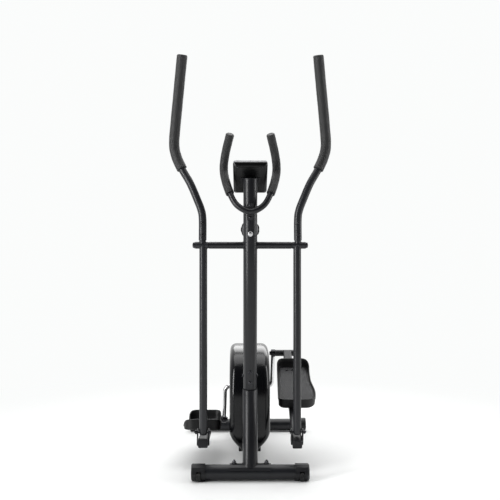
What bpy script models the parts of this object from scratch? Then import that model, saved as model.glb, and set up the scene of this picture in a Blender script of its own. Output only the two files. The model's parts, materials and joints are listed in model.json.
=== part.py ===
"""Magnetic elliptical trainer with a rear crank, built piece by piece.

Metres, +Z up. The console end, which is the machine's front, faces -Y, and the
user stands on the pedals looking along -Y, so "left" pieces are on the +X side.
The origin is on the floor under the middle of the machine. At rest the left
crank arm points up and a little forwards, and the right one down and back.
"""
import math

import bmesh
import bpy
from mathutils import Matrix, Vector

# ---------------------------------------------------------------- driving sizes
GAP = 0.0003                 # between pieces that touch
FRONT_Y = -0.38485           # axis of the front stabiliser
REAR_Y = FRONT_Y + 0.800     # axis of the rear stabiliser
STAB_Z = 0.030               # height of both stabiliser axes
STAB_R = 0.0275
STAB_BORE = 0.0255
CAP_R = 0.0315
FRONT_HALF = 0.176           # half length of the front stabiliser tube
REAR_HALF = 0.262
SADDLE_BOLT_X = 0.059

KEEL_Z = 0.085
KEEL_R = 0.025
NECK_FOOT = (FRONT_Y, 0.045)             # y, z where the neck tube starts
NECK_TOP = (FRONT_Y + 0.075, 0.3215)     # y, z of the joint with the upper post
POST_LEAN = 0.133                        # forward run of the post for each metre up
POST_R = 0.0254
POST_BORE = 0.0236
POST_TOP_Z = 1.0955

PIVOT_Y = FRONT_Y + 0.003
PIVOT_Z = 0.8555
ARM_LENGTH = 0.680           # swing pivot to the pedal tube's joint
ARM_X = 0.171
ARM_R = 0.0143
ARM_BORE = 0.0128

CRANK_Y = FRONT_Y + 0.600
CRANK_Z = 0.2445
CRANK_THROW = 0.150
CRANK_REST = math.radians(6.5)  # the crank's turn at rest, which stands both arms plumb
ROD_R = 0.009
EYE_X = 0.109
EYE_HALF = 0.009

LINK_LENGTH = 0.6195         # along the pedal tube, from under its joint to the crank pin
LINK_DROP = 0.036            # pedal tube centre line below its joint
LINK_HALF_W = 0.0175
LINK_HALF_H = 0.016

HOUSING_HALF = 0.078
HOUSING_FILLET = 0.038
HOUSING_WALL = 0.0025

BELT_X = 0.0435
DRIVE_R = 0.110
SMALL_R = 0.018
FLYWHEEL = (FRONT_Y + 0.300, 0.262)
FLYWHEEL_R = 0.120
IDLER_R = 0.020

CONSOLE_BACK = (FRONT_Y, 1.0963)         # middle of the console's back face
CONSOLE_TILT = math.radians(35)
CONSOLE_HALF_W = 0.063
CONSOLE_HALF_H = 0.0630
CONSOLE_DEPTH = 0.030

SIDES = (("left", 1), ("right", -1))

for old in list(bpy.data.objects):
    bpy.data.objects.remove(old)


# ---------------------------------------------------------------- finishes
FINISHES = {
    "black_paint": ((0.045, 0.046, 0.050), 0.38, 0.0),
    "grip_foam": ((0.050, 0.051, 0.052), 0.90, 0.0),
    "black_plastic": ((0.018, 0.018, 0.019), 0.50, 0.0),
    "gloss_plastic": ((0.008, 0.008, 0.009), 0.12, 0.0),
    "grey_plastic": ((0.380, 0.385, 0.400), 0.45, 0.0),
    "tread_plastic": ((0.055, 0.056, 0.058), 0.65, 0.0),
    "bright_steel": ((0.620, 0.620, 0.630), 0.22, 1.0),
    "dark_steel": ((0.110, 0.110, 0.120), 0.35, 1.0),
    "cast_iron": ((0.140, 0.140, 0.145), 0.55, 1.0),
    "rubber": ((0.015, 0.015, 0.015), 0.80, 0.0),
    "clear_plastic": ((0.060, 0.075, 0.070), 0.08, 0.0),
    "circuit_board": ((0.030, 0.150, 0.060), 0.50, 0.0),
}


def finish(name):
    """The material called name, made the first time it is asked for."""
    material = bpy.data.materials.get(name)
    if material:
        return material
    colour, roughness, metallic = FINISHES[name]
    material = bpy.data.materials.new(name)
    material.use_nodes = True
    shader = material.node_tree.nodes["Principled BSDF"]
    shader.inputs["Base Color"].default_value = (*colour, 1.0)
    shader.inputs["Roughness"].default_value = roughness
    shader.inputs["Metallic"].default_value = metallic
    return material


# ---------------------------------------------------------------- shape tools
def solid(name, build):
    """An object from a bmesh, with every face turned outwards."""
    bmesh.ops.recalc_face_normals(build, faces=build.faces)
    mesh = bpy.data.meshes.new(name)
    build.to_mesh(mesh)
    build.free()
    item = bpy.data.objects.new(name, mesh)
    bpy.context.scene.collection.objects.link(item)
    return item


def skin(name, rings, closed=False):
    """A solid through rings of points: capped at both ends, or joined end to end."""
    build = bmesh.new()
    loops = [[build.verts.new(point) for point in ring] for ring in rings]
    pairs = list(zip(loops, loops[1:]))
    if closed:
        pairs.append((loops[-1], loops[0]))
    else:
        build.faces.new(loops[0])
        build.faces.new(loops[-1])
    for first, second in pairs:
        count = max(len(first), len(second))
        for i in range(count):
            j = (i + 1) % count
            corners = [first[i % len(first)], first[j % len(first)],
                       second[j % len(second)], second[i % len(second)]]
            build.faces.new(list(dict.fromkeys(corners)))
    return solid(name, build)


def circle(centre, across, up, radius, count):
    """Points of a circle in the plane of two unit vectors."""
    points = []
    for i in range(count):
        turn = math.tau * i / count
        points.append(centre + across * (radius * math.cos(turn)) + up * (radius * math.sin(turn)))
    return points


def square_axes(along):
    """Two unit vectors square to a direction."""
    helper = Vector((1, 0, 0)) if abs(along.x) < 0.9 else Vector((0, 0, 1))
    across = along.cross(helper).normalized()
    return across, along.cross(across).normalized()


def turned(name, base, along, profile, count=16, closed=False):
    """A turned piece: profile holds (distance along the axis, radius) pairs."""
    base, along = Vector(base), Vector(along).normalized()
    across, up = square_axes(along)
    rings = []
    for distance, radius in profile:
        centre = base + along * distance
        if radius == 0:
            rings.append([centre])
        else:
            rings.append(circle(centre, across, up, radius, count))
    if closed:
        return skin(name, rings, True)
    build = bmesh.new()
    loops = [[build.verts.new(point) for point in ring] for ring in rings]
    for loop in (loops[0], loops[-1]):
        if len(loop) > 1:
            build.faces.new(loop)
    for first, second in zip(loops, loops[1:]):
        for i in range(count):
            j = (i + 1) % count
            corners = [first[i % len(first)], first[j % len(first)],
                       second[j % len(second)], second[i % len(second)]]
            build.faces.new(list(dict.fromkeys(corners)))
    return solid(name, build)


def rod(name, start, end, radius, count=16):
    """A round bar between two points."""
    start, end = Vector(start), Vector(end)
    return turned(name, start, end - start, [(0, radius), ((end - start).length, radius)], count)


def pipe(name, start, end, radius, bore, count=16):
    """A straight tube, open at both ends."""
    start, end = Vector(start), Vector(end)
    length = (end - start).length
    profile = [(0, radius), (length, radius), (length, bore), (0, bore)]
    return turned(name, start, end - start, profile, count, True)


def sweep_rings(path, radius, count):
    """Circles square to a path, turned from one to the next without twist."""
    rings = []
    across = None
    for i, point in enumerate(path):
        ahead = path[min(i + 1, len(path) - 1)] - path[max(i - 1, 0)]
        ahead.normalize()
        if across is None:
            across, up = square_axes(ahead)
        across = (across - ahead * across.dot(ahead)).normalized()
        up = ahead.cross(across)
        rings.append(circle(point, across, up, radius, count))
    return rings


def swept(name, path, radius, bore=None, count=16):
    """A bar along a path, or a tube along it when a bore is given."""
    rings = sweep_rings(path, radius, count)
    if bore is None:
        return skin(name, rings)
    return skin(name, rings + sweep_rings(path, bore, count)[::-1], True)


def block(name, low, high):
    """A box between two corners."""
    low, high = Vector(low), Vector(high)
    ring = [(low.x, low.y), (high.x, low.y), (high.x, high.y), (low.x, high.y)]
    return skin(name, [[Vector((x, y, z)) for x, y in ring] for z in (low.z, high.z)])


def plate(name, outline, low_x, high_x):
    """A plate cut to an outline of (y, z) points, between two x values."""
    return skin(name, [[Vector((x, y, z)) for y, z in outline] for x in (low_x, high_x)])


WELD = 0.000005


def bake(item, modifier):
    """Apply one modifier by keeping the evaluated mesh."""
    graph = bpy.context.evaluated_depsgraph_get()
    shape = bpy.data.meshes.new_from_object(item.evaluated_get(graph))
    item.modifiers.remove(modifier)
    build = bmesh.new()
    build.from_mesh(shape)
    bmesh.ops.remove_doubles(build, verts=build.verts, dist=WELD)
    bmesh.ops.dissolve_degenerate(build, edges=build.edges, dist=WELD)
    build.to_mesh(shape)
    build.free()
    item.data = shape


def combine(base, tools, operation):
    """Boolean each tool into base, then drop the tool."""
    for tool in tools:
        modifier = base.modifiers.new(operation, "BOOLEAN")
        modifier.operation = operation
        modifier.object = tool
        bake(base, modifier)
        bpy.data.objects.remove(tool)
    return base


def fuse(base, *tools):
    return combine(base, tools, "UNION")


def cut(base, *tools):
    return combine(base, tools, "DIFFERENCE")


def keep(item, name, finish_name, holder=None):
    """Name a finished piece, give it its finish and hang it on its holder.

    A piece made for a holder is drawn in the holder's own frame.
    """
    item.name = name
    item.data.name = name
    item.data.materials.clear()
    item.data.materials.append(finish(finish_name))
    item.data.shade_smooth()
    item.data.set_sharp_from_angle(angle=math.radians(32))
    if holder:
        item.parent = holder
    return item


def holder(name, place, turn=0.0):
    """An empty on a joint's axis, turned about X."""
    empty = bpy.data.objects.new(name, None)
    bpy.context.scene.collection.objects.link(empty)
    empty.location = place
    empty.rotation_euler = (turn, 0, 0)
    return empty


def recentre(item, place):
    """Move a piece's origin to a point without moving the piece."""
    item.data.transform(Matrix.Translation(-Vector(place)))
    item.location = place
    return item


def smooth_path(points, steps):
    """A smooth curve through hand-placed points."""
    points = [Vector(point) for point in points]
    padded = [points[0] * 2 - points[1]] + points + [points[-1] * 2 - points[-2]]
    path = []
    for i in range(1, len(padded) - 2):
        p0, p1, p2, p3 = padded[i - 1:i + 3]
        for k in range(steps):
            t = k / steps
            path.append(0.5 * (2 * p1 + (p2 - p0) * t + (2 * p0 - 5 * p1 + 4 * p2 - p3) * t ** 2
                               + (3 * p1 - p0 - 3 * p2 + p3) * t ** 3))
    path.append(points[-1])
    return path


def bent_path(points, radius, steps=6):
    """Straight runs joined by bends of one radius, as a tube bender makes them."""
    points = [Vector(point) for point in points]
    path = [points[0]]
    for before, corner, after in zip(points, points[1:], points[2:]):
        back = (before - corner).normalized()
        ahead = (after - corner).normalized()
        half = back.angle(ahead) / 2
        reach = radius / math.tan(half)
        centre = corner + (back + ahead).normalized() * (radius / math.sin(half))
        start = corner + back * reach - centre
        end = corner + ahead * reach - centre
        sweep = start.angle(end)
        for k in range(steps + 1):
            t = k / steps
            arm = (start * math.sin((1 - t) * sweep) + end * math.sin(t * sweep)) / math.sin(sweep)
            path.append(centre + arm)
    path.append(points[-1])
    return path


def post_axis(z):
    """The point of the upper post's centre line at a height."""
    return Vector((0, NECK_TOP[0] - POST_LEAN * (z - NECK_TOP[1]), z))


def screw(base, along, length, shank, head_r, head_h, count=8):
    """A button-head screw: base is under the head, along points down the shank."""
    profile = [(-head_h, head_r * 0.62), (-head_h * 0.45, head_r * 0.94), (0, head_r), (0, shank),
               (length, shank)]
    return turned("screw", base, along, profile, count)


def hex_nut(base, along, across_corners, height, crown=0.0):
    """A hexagon nut, with a dome on it when a crown height is given."""
    nut = turned("nut", base, along, [(0, across_corners), (height, across_corners)], 6)
    if crown:
        r = across_corners * 0.8
        dome = turned("crown", base, along,
                      [(0, r), (height, r), (height + crown, r * 0.45)], 8)
        fuse(nut, dome)
    return nut


UP = Vector((0, 0, 1))
DOWN = Vector((0, 0, -1))
OUT = Vector((1, 0, 0))
POST_UP = Vector((0, -POST_LEAN, 1)).normalized()
POST_BACK = Vector((0, 1, POST_LEAN)).normalized()


# ---------------------------------------------------------------- stabilisers
BOLT_R = 0.004
BOLT_HOLE = 0.0043


def stabiliser(name, y, half):
    """A cross tube on the floor with two bolt holes for its saddle."""
    tube = pipe(name, (-half, y, STAB_Z), (half, y, STAB_Z), STAB_R, STAB_BORE, 16)
    for x in (-SADDLE_BOLT_X, SADDLE_BOLT_X):
        cut(tube, rod("hole", (x, y, STAB_Z), (x, y, STAB_Z + 0.04), BOLT_HOLE, 8))
    return keep(tube, name, "black_paint")


def floor_cut(x, y):
    """A block that trims a cap flat where it stands on the floor."""
    return block("floor", (x - 0.06, y - 0.04, -0.02), (x + 0.06, y + 0.04, 0))


WHEEL_X = 0.187
WHEEL_Y = FRONT_Y - 0.018
WHEEL_Z = 0.0185
WHEEL_R = 0.017
WHEEL_HALF = 0.0075
WHEEL_PIN_R = 0.0025
FRONT_END = 0.214
REAR_END = 0.2715


def front_cap(side):
    """A moulded end cap with a fork and a cross pin for a transport wheel."""
    plug, sleeve = 0.145, 0.164
    profile = [(plug, 0), (plug, STAB_BORE - GAP), (FRONT_HALF + GAP, STAB_BORE - GAP),
               (FRONT_HALF + GAP, STAB_R + GAP), (sleeve, STAB_R + GAP), (sleeve, CAP_R),
               (FRONT_END - 0.004, CAP_R), (FRONT_END, CAP_R - 0.004), (FRONT_END, 0)]
    cap = turned("cap", (0, FRONT_Y, STAB_Z), OUT * side, profile, 16)
    slot_low = WHEEL_X - WHEEL_HALF - 0.001
    slot_high = WHEEL_X + WHEEL_HALF + 0.001
    low_x, high_x = sorted((side * slot_low, side * slot_high))
    slot = block("slot", (low_x, WHEEL_Y - 0.03, -0.02), (high_x, WHEEL_Y + 0.0195, WHEEL_Z + 0.0195))
    cut(cap, slot, floor_cut(side * 0.19, FRONT_Y))
    return fuse(cap, rod("pin", (side * 0.1705, WHEEL_Y, WHEEL_Z), (side * 0.2050, WHEEL_Y, WHEEL_Z),
                         WHEEL_PIN_R, 8))


def rear_cap(side):
    """A moulded end cap with a flat foot."""
    sleeve = 0.2225
    outer = turned("cap", (0, REAR_Y, STAB_Z), OUT * side,
                   [(sleeve, CAP_R), (REAR_END - 0.004, CAP_R), (REAR_END, CAP_R - 0.004)], 16)
    socket = rod("socket", (side * (sleeve - 0.01), REAR_Y, STAB_Z),
                 (side * (REAR_HALF + GAP), REAR_Y, STAB_Z), STAB_R + GAP, 16)
    return cut(outer, socket, floor_cut(side * 0.247, REAR_Y))


def stud_plate(y):
    """Two studs welded to a strip inside the tube, each with a washer and dome nut on the saddle."""
    strip_z = STAB_Z + STAB_BORE - 0.0065
    top = STAB_Z + SADDLE_R + GAP
    piece = block("strip", (-0.070, y - 0.007, strip_z - 0.004), (0.070, y + 0.007, strip_z))
    for x in (-SADDLE_BOLT_X, SADDLE_BOLT_X):
        fuse(piece, rod("stud", (x, y, strip_z - 0.002), (x, y, top + 0.003), BOLT_R, 8))
        fuse(piece, turned("washer", (x, y, top), UP, [(0, 0.0095), (0.0016, 0.0095)], 12))
        fuse(piece, hex_nut((x, y, top + 0.001), UP, 0.0078, 0.0065, 0.0055))
    return piece


SADDLE_R = 0.0318

stabiliser("front_stabiliser", FRONT_Y, FRONT_HALF)
stabiliser("rear_stabiliser", REAR_Y, REAR_HALF)
for end, y in (("front", FRONT_Y), ("rear", REAR_Y)):
    keep(stud_plate(y), end + "_stud_plate", "dark_steel")

for side_name, side in SIDES:
    keep(front_cap(side), "front_cap_" + side_name, "black_plastic")
    keep(rear_cap(side), "rear_cap_" + side_name, "black_plastic")
    wheel_profile = [(-WHEEL_HALF, 0.0028), (-WHEEL_HALF, WHEEL_R - 0.002), (-WHEEL_HALF + 0.002, WHEEL_R),
                     (WHEEL_HALF - 0.002, WHEEL_R), (WHEEL_HALF, WHEEL_R - 0.002), (WHEEL_HALF, 0.0028)]
    wheel_place = (side * WHEEL_X, WHEEL_Y, WHEEL_Z)
    wheel = turned("wheel", wheel_place, OUT, wheel_profile, 16, True)
    keep(recentre(wheel, wheel_place), "transport_wheel_" + side_name, "black_plastic")


# ---------------------------------------------------------------- main frame
STUB_R = 0.0230
STUB_TOP_Z = 0.4095
SHELL_R = 0.0255
SHELL_BORE = 0.0205
SHELL_HALF = 0.034
DECK_TOP = 0.112
PLATE_T = 0.004
NEAR_PLATE_X = -0.0335       # middles of the plates that carry the flywheel axle
FAR_PLATE_X = 0.0555
AXLE_R = 0.005
IDLER_PIVOT = (FRONT_Y + 0.380, 0.140)
BRAKE_RADIUS = 0.129
BRAKE_PIVOT = (FLYWHEEL[0] + BRAKE_RADIUS * math.cos(math.radians(200)),
               FLYWHEEL[1] + BRAKE_RADIUS * math.sin(math.radians(200)))


def saddle(y):
    """A curved plate that sits on a stabiliser."""
    outline = []
    for radius, steps in ((SADDLE_R, range(1, 8)), (STAB_R + GAP, range(7, 0, -1))):
        for step in steps:
            angle = math.tau * step / 16
            outline.append((y + radius * math.cos(angle), STAB_Z + radius * math.sin(angle)))
    piece = plate("saddle", outline, -0.075, 0.075)
    for x in (-SADDLE_BOLT_X, SADDLE_BOLT_X):
        cut(piece, rod("hole", (x, y, STAB_Z), (x, y, STAB_Z + 0.05), BOLT_HOLE, 8))
    return piece


def lug(centre, foot_y, half_w, middle_x):
    """An upright plate from the deck to a rounded eye."""
    outline = [(foot_y - half_w, 0.107), (foot_y + half_w, 0.107)]
    for turn in range(0, 181, 30):
        angle = math.radians(turn)
        outline.append((centre[0] + half_w * 0.7 * math.cos(angle), centre[1] + half_w * 0.7 * math.sin(angle)))
    return plate("lug", outline, middle_x - PLATE_T / 2, middle_x + PLATE_T / 2)


def cross_hole(centre, radius):
    return rod("hole", (-0.12, *centre), (0.12, *centre), radius, 16)


neck_foot = Vector((0, *NECK_FOOT))
neck_top = Vector((0, *NECK_TOP))
neck_up = (neck_top - neck_foot).normalized()
neck_ring = circle(neck_foot, *square_axes(neck_up), STAB_R, 16)
mitre_ring = [point + neck_up * ((neck_top - point).dot(POST_UP) / neck_up.dot(POST_UP)) for point in neck_ring]
frame = skin("frame", [neck_ring, mitre_ring])
stub_base = post_axis(NECK_TOP[1] - 0.012)
fuse(frame, rod("stub", stub_base, post_axis(STUB_TOP_Z), STUB_R, 16))
fuse(frame, rod("keel", (0, FRONT_Y + 0.008, KEEL_Z), (0, REAR_Y + 0.022, KEEL_Z), KEEL_R, 16))
cut(frame, rod("clear", (-0.1, FRONT_Y, STAB_Z), (0.1, FRONT_Y, STAB_Z), STAB_R + GAP, 16))
fuse(frame, saddle(FRONT_Y), saddle(REAR_Y))
fuse(frame, rod("strut", (0, CRANK_Y, KEEL_Z + 0.01), (0, CRANK_Y, CRANK_Z - 0.018), 0.017, 16))
fuse(frame, rod("shell", (-SHELL_HALF, CRANK_Y, CRANK_Z), (SHELL_HALF, CRANK_Y, CRANK_Z), SHELL_R, 16))
cut(frame, rod("bore", (-0.05, CRANK_Y, CRANK_Z), (0.05, CRANK_Y, CRANK_Z), SHELL_BORE, 16))
fuse(frame, block("deck", (NEAR_PLATE_X - PLATE_T / 2, FRONT_Y + 0.162, 0.107), (0.032, FRONT_Y + 0.400, DECK_TOP)))
fuse(frame, block("shelf", (0.010, FRONT_Y + 0.270, 0.1075),
                  (FAR_PLATE_X + PLATE_T / 2, FRONT_Y + 0.330, DECK_TOP - 0.0005)))
for plate_x in (NEAR_PLATE_X, FAR_PLATE_X):
    eye = lug(FLYWHEEL, FLYWHEEL[0], 0.024, plate_x)
    fuse(frame, cut(eye, cross_hole(FLYWHEEL, AXLE_R + GAP)))
fuse(frame, cut(lug(BRAKE_PIVOT, BRAKE_PIVOT[0], 0.014, NEAR_PLATE_X), cross_hole(BRAKE_PIVOT, 0.0033)))
fuse(frame, cut(lug(IDLER_PIVOT, IDLER_PIVOT[0], 0.014, 0.0285), cross_hole(IDLER_PIVOT, 0.0043)))
POST_SCREW_Z = (0.3895, 0.3495)
for z in POST_SCREW_Z:
    cut(frame, rod("hole", post_axis(z) - POST_BACK * 0.03, post_axis(z) + POST_BACK * 0.001, BOLT_HOLE, 8))
keep(frame, "main_frame", "black_paint")


# ---------------------------------------------------------------- upper post
CROSS_TUBE_HALF = 0.150
CROSS_TUBE_R = 0.0127
PIVOT_PIN_R = 0.008
KNOB_Z = 0.9085
KNOB_SCREW_Z = 0.8985
CABLE_IN_Z = 0.8835
CABLE_OUT_Z = 0.4415


def console_point(x, depth, height):
    """World place of a point given across, into and up the tilted console."""
    turn = Matrix.Rotation(CONSOLE_TILT, 3, "X")
    return Vector((0, *CONSOLE_BACK)) + turn @ Vector((x, depth, height))


post = pipe("post", post_axis(NECK_TOP[1]) + POST_UP * 0.0006, post_axis(POST_TOP_Z), POST_R, POST_BORE, 16)
post_cap = rod("cap", post_axis(POST_TOP_Z - 0.004), post_axis(POST_TOP_Z), POST_BORE + 0.001, 16)
fuse(post, post_cap)
fuse(post, rod("cross", (-CROSS_TUBE_HALF, PIVOT_Y, PIVOT_Z), (CROSS_TUBE_HALF, PIVOT_Y, PIVOT_Z),
               CROSS_TUBE_R, 16))
cut(post, rod("bore", (-0.2, PIVOT_Y, PIVOT_Z), (0.2, PIVOT_Y, PIVOT_Z), PIVOT_PIN_R + GAP, 16))
bracket = skin("bracket", [[console_point(x, depth, height) for x, height in
                            ((-0.036, -0.030), (0.036, -0.030), (0.036, 0.006), (-0.036, 0.006))]
                           for depth in (-0.003, -GAP)])
gusset_foot = post_axis(1.0505) + POST_BACK * 0.015
gusset_head = post_axis(1.0825) + POST_BACK * 0.010
for gusset_x in (-0.016, 0.016):
    corners = [gusset_foot, console_point(0, -0.002, -0.028), console_point(0, -0.002, 0.001), gusset_head]
    fuse(bracket, plate("gusset", [(corner.y, corner.z) for corner in corners],
                        gusset_x - 0.0015, gusset_x + 0.0015))
fuse(post, bracket)
for z in POST_SCREW_Z:
    cut(post, rod("hole", post_axis(z) - POST_BACK * 0.04, post_axis(z) - POST_BACK * 0.01, BOLT_HOLE, 8))
cut(post, rod("hole", post_axis(KNOB_SCREW_Z) - POST_BACK * 0.04,
              post_axis(KNOB_SCREW_Z) + POST_BACK * 0.04, 0.0028, 8))
for z in (CABLE_IN_Z, CABLE_OUT_Z):
    cut(post, rod("hole", post_axis(z) + POST_BACK * 0.01, post_axis(z) + POST_BACK * 0.04, 0.0030, 8))
keep(post, "upper_post", "black_paint")

for place, z in zip(("upper", "lower"), POST_SCREW_Z):
    bolt = screw(post_axis(z) - POST_BACK * (POST_R + GAP), POST_BACK, 0.021, BOLT_R, 0.0072, 0.004)
    keep(bolt, "post_bolt_" + place, "dark_steel")


# ---------------------------------------------------------------- fixed handlebar
BAR_R = 0.0111
BAR_BORE = 0.0093
BAR_FOAM_R = 0.0158
BAR_SEAT = 0.0030            # thickness of the plate between the post and the bar
bar_centre = post_axis(0.9795) - POST_BACK * (POST_R + GAP + BAR_SEAT + BAR_R - 0.0012)


def bar_path(side, steps):
    """Half of the U bar, from the middle up to its tip."""
    y = bar_centre.y
    points = [(0, y, bar_centre.z), (0.026, y + 0.001, 0.9820), (0.053, y + 0.010, 1.0035),
              (0.073, y + 0.027, 1.0405), (0.088, y + 0.055, 1.0845), (0.0970, y + 0.080, 1.1325),
              (0.0915, y + 0.078, 1.1895), (0.0745, y + 0.043, 1.2525)]
    return [Vector((side * point.x, point.y, point.z)) for point in smooth_path(points, steps)]


BAR_STEPS = 1
right_half = bar_path(-1, BAR_STEPS)
left_half = bar_path(1, BAR_STEPS)
bar_line = right_half[::-1] + left_half[1:]
bar = swept("bar", bar_line, BAR_R, BAR_BORE, 12)
seat_face = POST_R + GAP
seat_low = post_axis(0.9455)
seat_high = post_axis(1.0105)
seat_rings = []
for reach in (seat_face, seat_face + BAR_SEAT):
    seat_rings.append([place - POST_BACK * reach + OUT * x for place, x in
                       ((seat_low, -0.012), (seat_low, 0.012), (seat_high, 0.012), (seat_high, -0.012))])
seat_plate = skin("seat", seat_rings)
inner_rings = sweep_rings([right_half[BAR_STEPS], right_half[0], left_half[BAR_STEPS]], BAR_BORE, 12)
fuse(bar, cut(seat_plate, skin("hollow", inner_rings)))
keep(bar, "handlebar", "black_paint")

bar_skin = sweep_rings(bar_line, BAR_FOAM_R, 12)
bar_core = sweep_rings(bar_line, BAR_R + GAP, 12)
covered = 4 * BAR_STEPS + 1          # path points under each grip
for side_name, side in SIDES:
    pick = slice(len(bar_line) - covered, None) if side > 0 else slice(covered - 1, None, -1)
    outside, inside, line = bar_skin[pick], bar_core[pick], bar_line[pick]
    ahead = (line[-1] - line[-2]).normalized()
    closed_end = [[point + ahead * 0.004 for point in outside[-1]],
                  [line[-1] + ahead * 0.008 + (point - line[-1]) * 0.75 for point in outside[-1]]]
    floor_ring = [point + ahead * 0.0006 for point in inside[-1]]
    sleeve = skin("sleeve", [floor_ring] + inside[-2::-1] + outside[:-1] + closed_end)
    keep(sleeve, "handlebar_grip_" + side_name, "grip_foam")


# ---------------------------------------------------------------- swing pivot
PIVOT_HALF = 0.206
SLEEVE_IN = 0.1525
SLEEVE_OUT = 0.200
SLEEVE_BORE = PIVOT_PIN_R + GAP

axle = rod("axle", (-PIVOT_HALF, PIVOT_Y, PIVOT_Z), (PIVOT_HALF, PIVOT_Y, PIVOT_Z), PIVOT_PIN_R, 16)
keep(axle, "pivot_axle", "bright_steel")
for side_name, side in SIDES:
    start = (side * (SLEEVE_OUT + 0.001), PIVOT_Y, PIVOT_Z)
    nut = turned("nut", start, OUT * side, [(0, 0.0125), (0.0018, 0.0125)], 16)
    fuse(nut, hex_nut((side * (SLEEVE_OUT + 0.0023), PIVOT_Y, PIVOT_Z), OUT * side, 0.0112, 0.0062, 0.002))
    cut(nut, rod("bore", (side * 0.19, PIVOT_Y, PIVOT_Z),
                 (side * (PIVOT_HALF + GAP), PIVOT_Y, PIVOT_Z), PIVOT_PIN_R + GAP, 16))
    keep(nut, "pivot_nut_" + side_name, "bright_steel")


# ---------------------------------------------------------------- linkage at rest
def arm_turn(pin):
    """How far an arm has swung from plumb when its pedal tube reaches a crank pin."""
    reach = Vector((pin[0] - PIVOT_Y, pin[1] - PIVOT_Z))
    link = math.hypot(LINK_LENGTH, LINK_DROP)
    cosine = (reach.length_squared + ARM_LENGTH ** 2 - link ** 2) / (2 * reach.length * ARM_LENGTH)
    return math.atan2(reach.x, -reach.y) - math.acos(cosine)


def joint_place(turn):
    return (PIVOT_Y + ARM_LENGTH * math.sin(turn), PIVOT_Z - ARM_LENGTH * math.cos(turn))


def link_turn(turn, pin):
    """Slope of a pedal tube that runs from an arm's joint to a crank pin."""
    joint = joint_place(turn)
    return math.atan2(pin[1] - joint[1], pin[0] - joint[0]) + math.atan2(LINK_DROP, LINK_LENGTH)


# ---------------------------------------------------------------- swing arms
FOAM_R = 0.0195
STUB_UP_R = 0.0125
HANDLE_X = 0.1735
HANDLE_FOOT = 0.018
JOINT_BOLT_R = 0.004
HANDLE_STEPS = 1
FOAM_START = 5               # first path point that the foam covers


def handle_path(side, steps):
    """Centre line of the upper handle in its arm's frame."""
    points = [(HANDLE_X, 0, HANDLE_FOOT), (HANDLE_X, 0, 0.095), (0.1785, 0.001, 0.128), (0.1945, 0.004, 0.170),
              (0.2190, 0.012, 0.226), (0.2500, 0.024, 0.280), (0.2705, 0.033, 0.325), (0.2800, 0.036, 0.372),
              (0.2735, 0.025, 0.450), (0.2598, 0.003, 0.570), (0.2467, -0.0207, 0.6800)]
    return [Vector((side * point.x, point.y, point.z)) for point in smooth_path(points, steps)]


def arm_pieces(side_name, side, carrier):
    x = side * ARM_X
    arm = turned("arm", (x, 0, -0.004), DOWN, [(0, ARM_R), (ARM_LENGTH + 0.005, ARM_R),
                                               (ARM_LENGTH + 0.0095, ARM_R * 0.75),
                                               (ARM_LENGTH + 0.0110, ARM_R * 0.35)], 16)
    fuse(arm, rod("sleeve", (side * SLEEVE_IN, 0, 0), (side * SLEEVE_OUT, 0, 0), CROSS_TUBE_R, 16))
    fuse(arm, rod("stub", (side * HANDLE_X, 0, 0.006), (side * HANDLE_X, 0, 0.085), STUB_UP_R, 12))
    cut(arm, rod("bore", (side * 0.14, 0, 0), (side * 0.21, 0, 0), SLEEVE_BORE, 16))
    cut(arm, rod("hollow", (x, 0, -0.022), (x, 0, -0.664), ARM_BORE, 16))
    cut(arm, rod("hole", (x - 0.03, 0, -ARM_LENGTH), (x + 0.03, 0, -ARM_LENGTH), BOLT_HOLE, 16),
        rod("drain", (x, -0.03, -0.640), (x, 0, -0.640), 0.002, 6))
    keep(arm, "lower_arm_" + side_name, "black_paint", carrier)

    path = handle_path(side, HANDLE_STEPS)
    handle = swept("handle", path, ARM_R, ARM_BORE, 12)
    keep(handle, "upper_handle_" + side_name, "black_paint", carrier)

    outside = sweep_rings(path, FOAM_R, 12)[FOAM_START:]
    inside = sweep_rings(path, ARM_R + GAP, 12)[FOAM_START:]
    ahead = (path[-1] - path[-2]).normalized()
    floor_ring = [point + ahead * 0.0006 for point in inside[-1]]
    closed_end = [[point + ahead * 0.004 for point in outside[-1]],
                  [path[-1] + ahead * 0.0085 + (point - path[-1]) * 0.7 for point in outside[-1]]]
    foam = skin("foam", [floor_ring] + inside[-2::-1] + outside[:-1] + closed_end)
    keep(foam, "handle_grip_" + side_name, "grip_foam", carrier)


# ---------------------------------------------------------------- pedals
TRAY_TOE = 0.175
TRAY_HEEL = 0.478
TRAY_FLOOR = 0.0035
TRAY_WALL = 0.0032
TRAY_HIGH = 0.042
TRAY_LOW = 0.009
LINK_FRONT = -0.030
LINK_REAR = LINK_LENGTH - 0.004
EAR_IN = 0.0185
EAR_T = 0.0040


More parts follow.
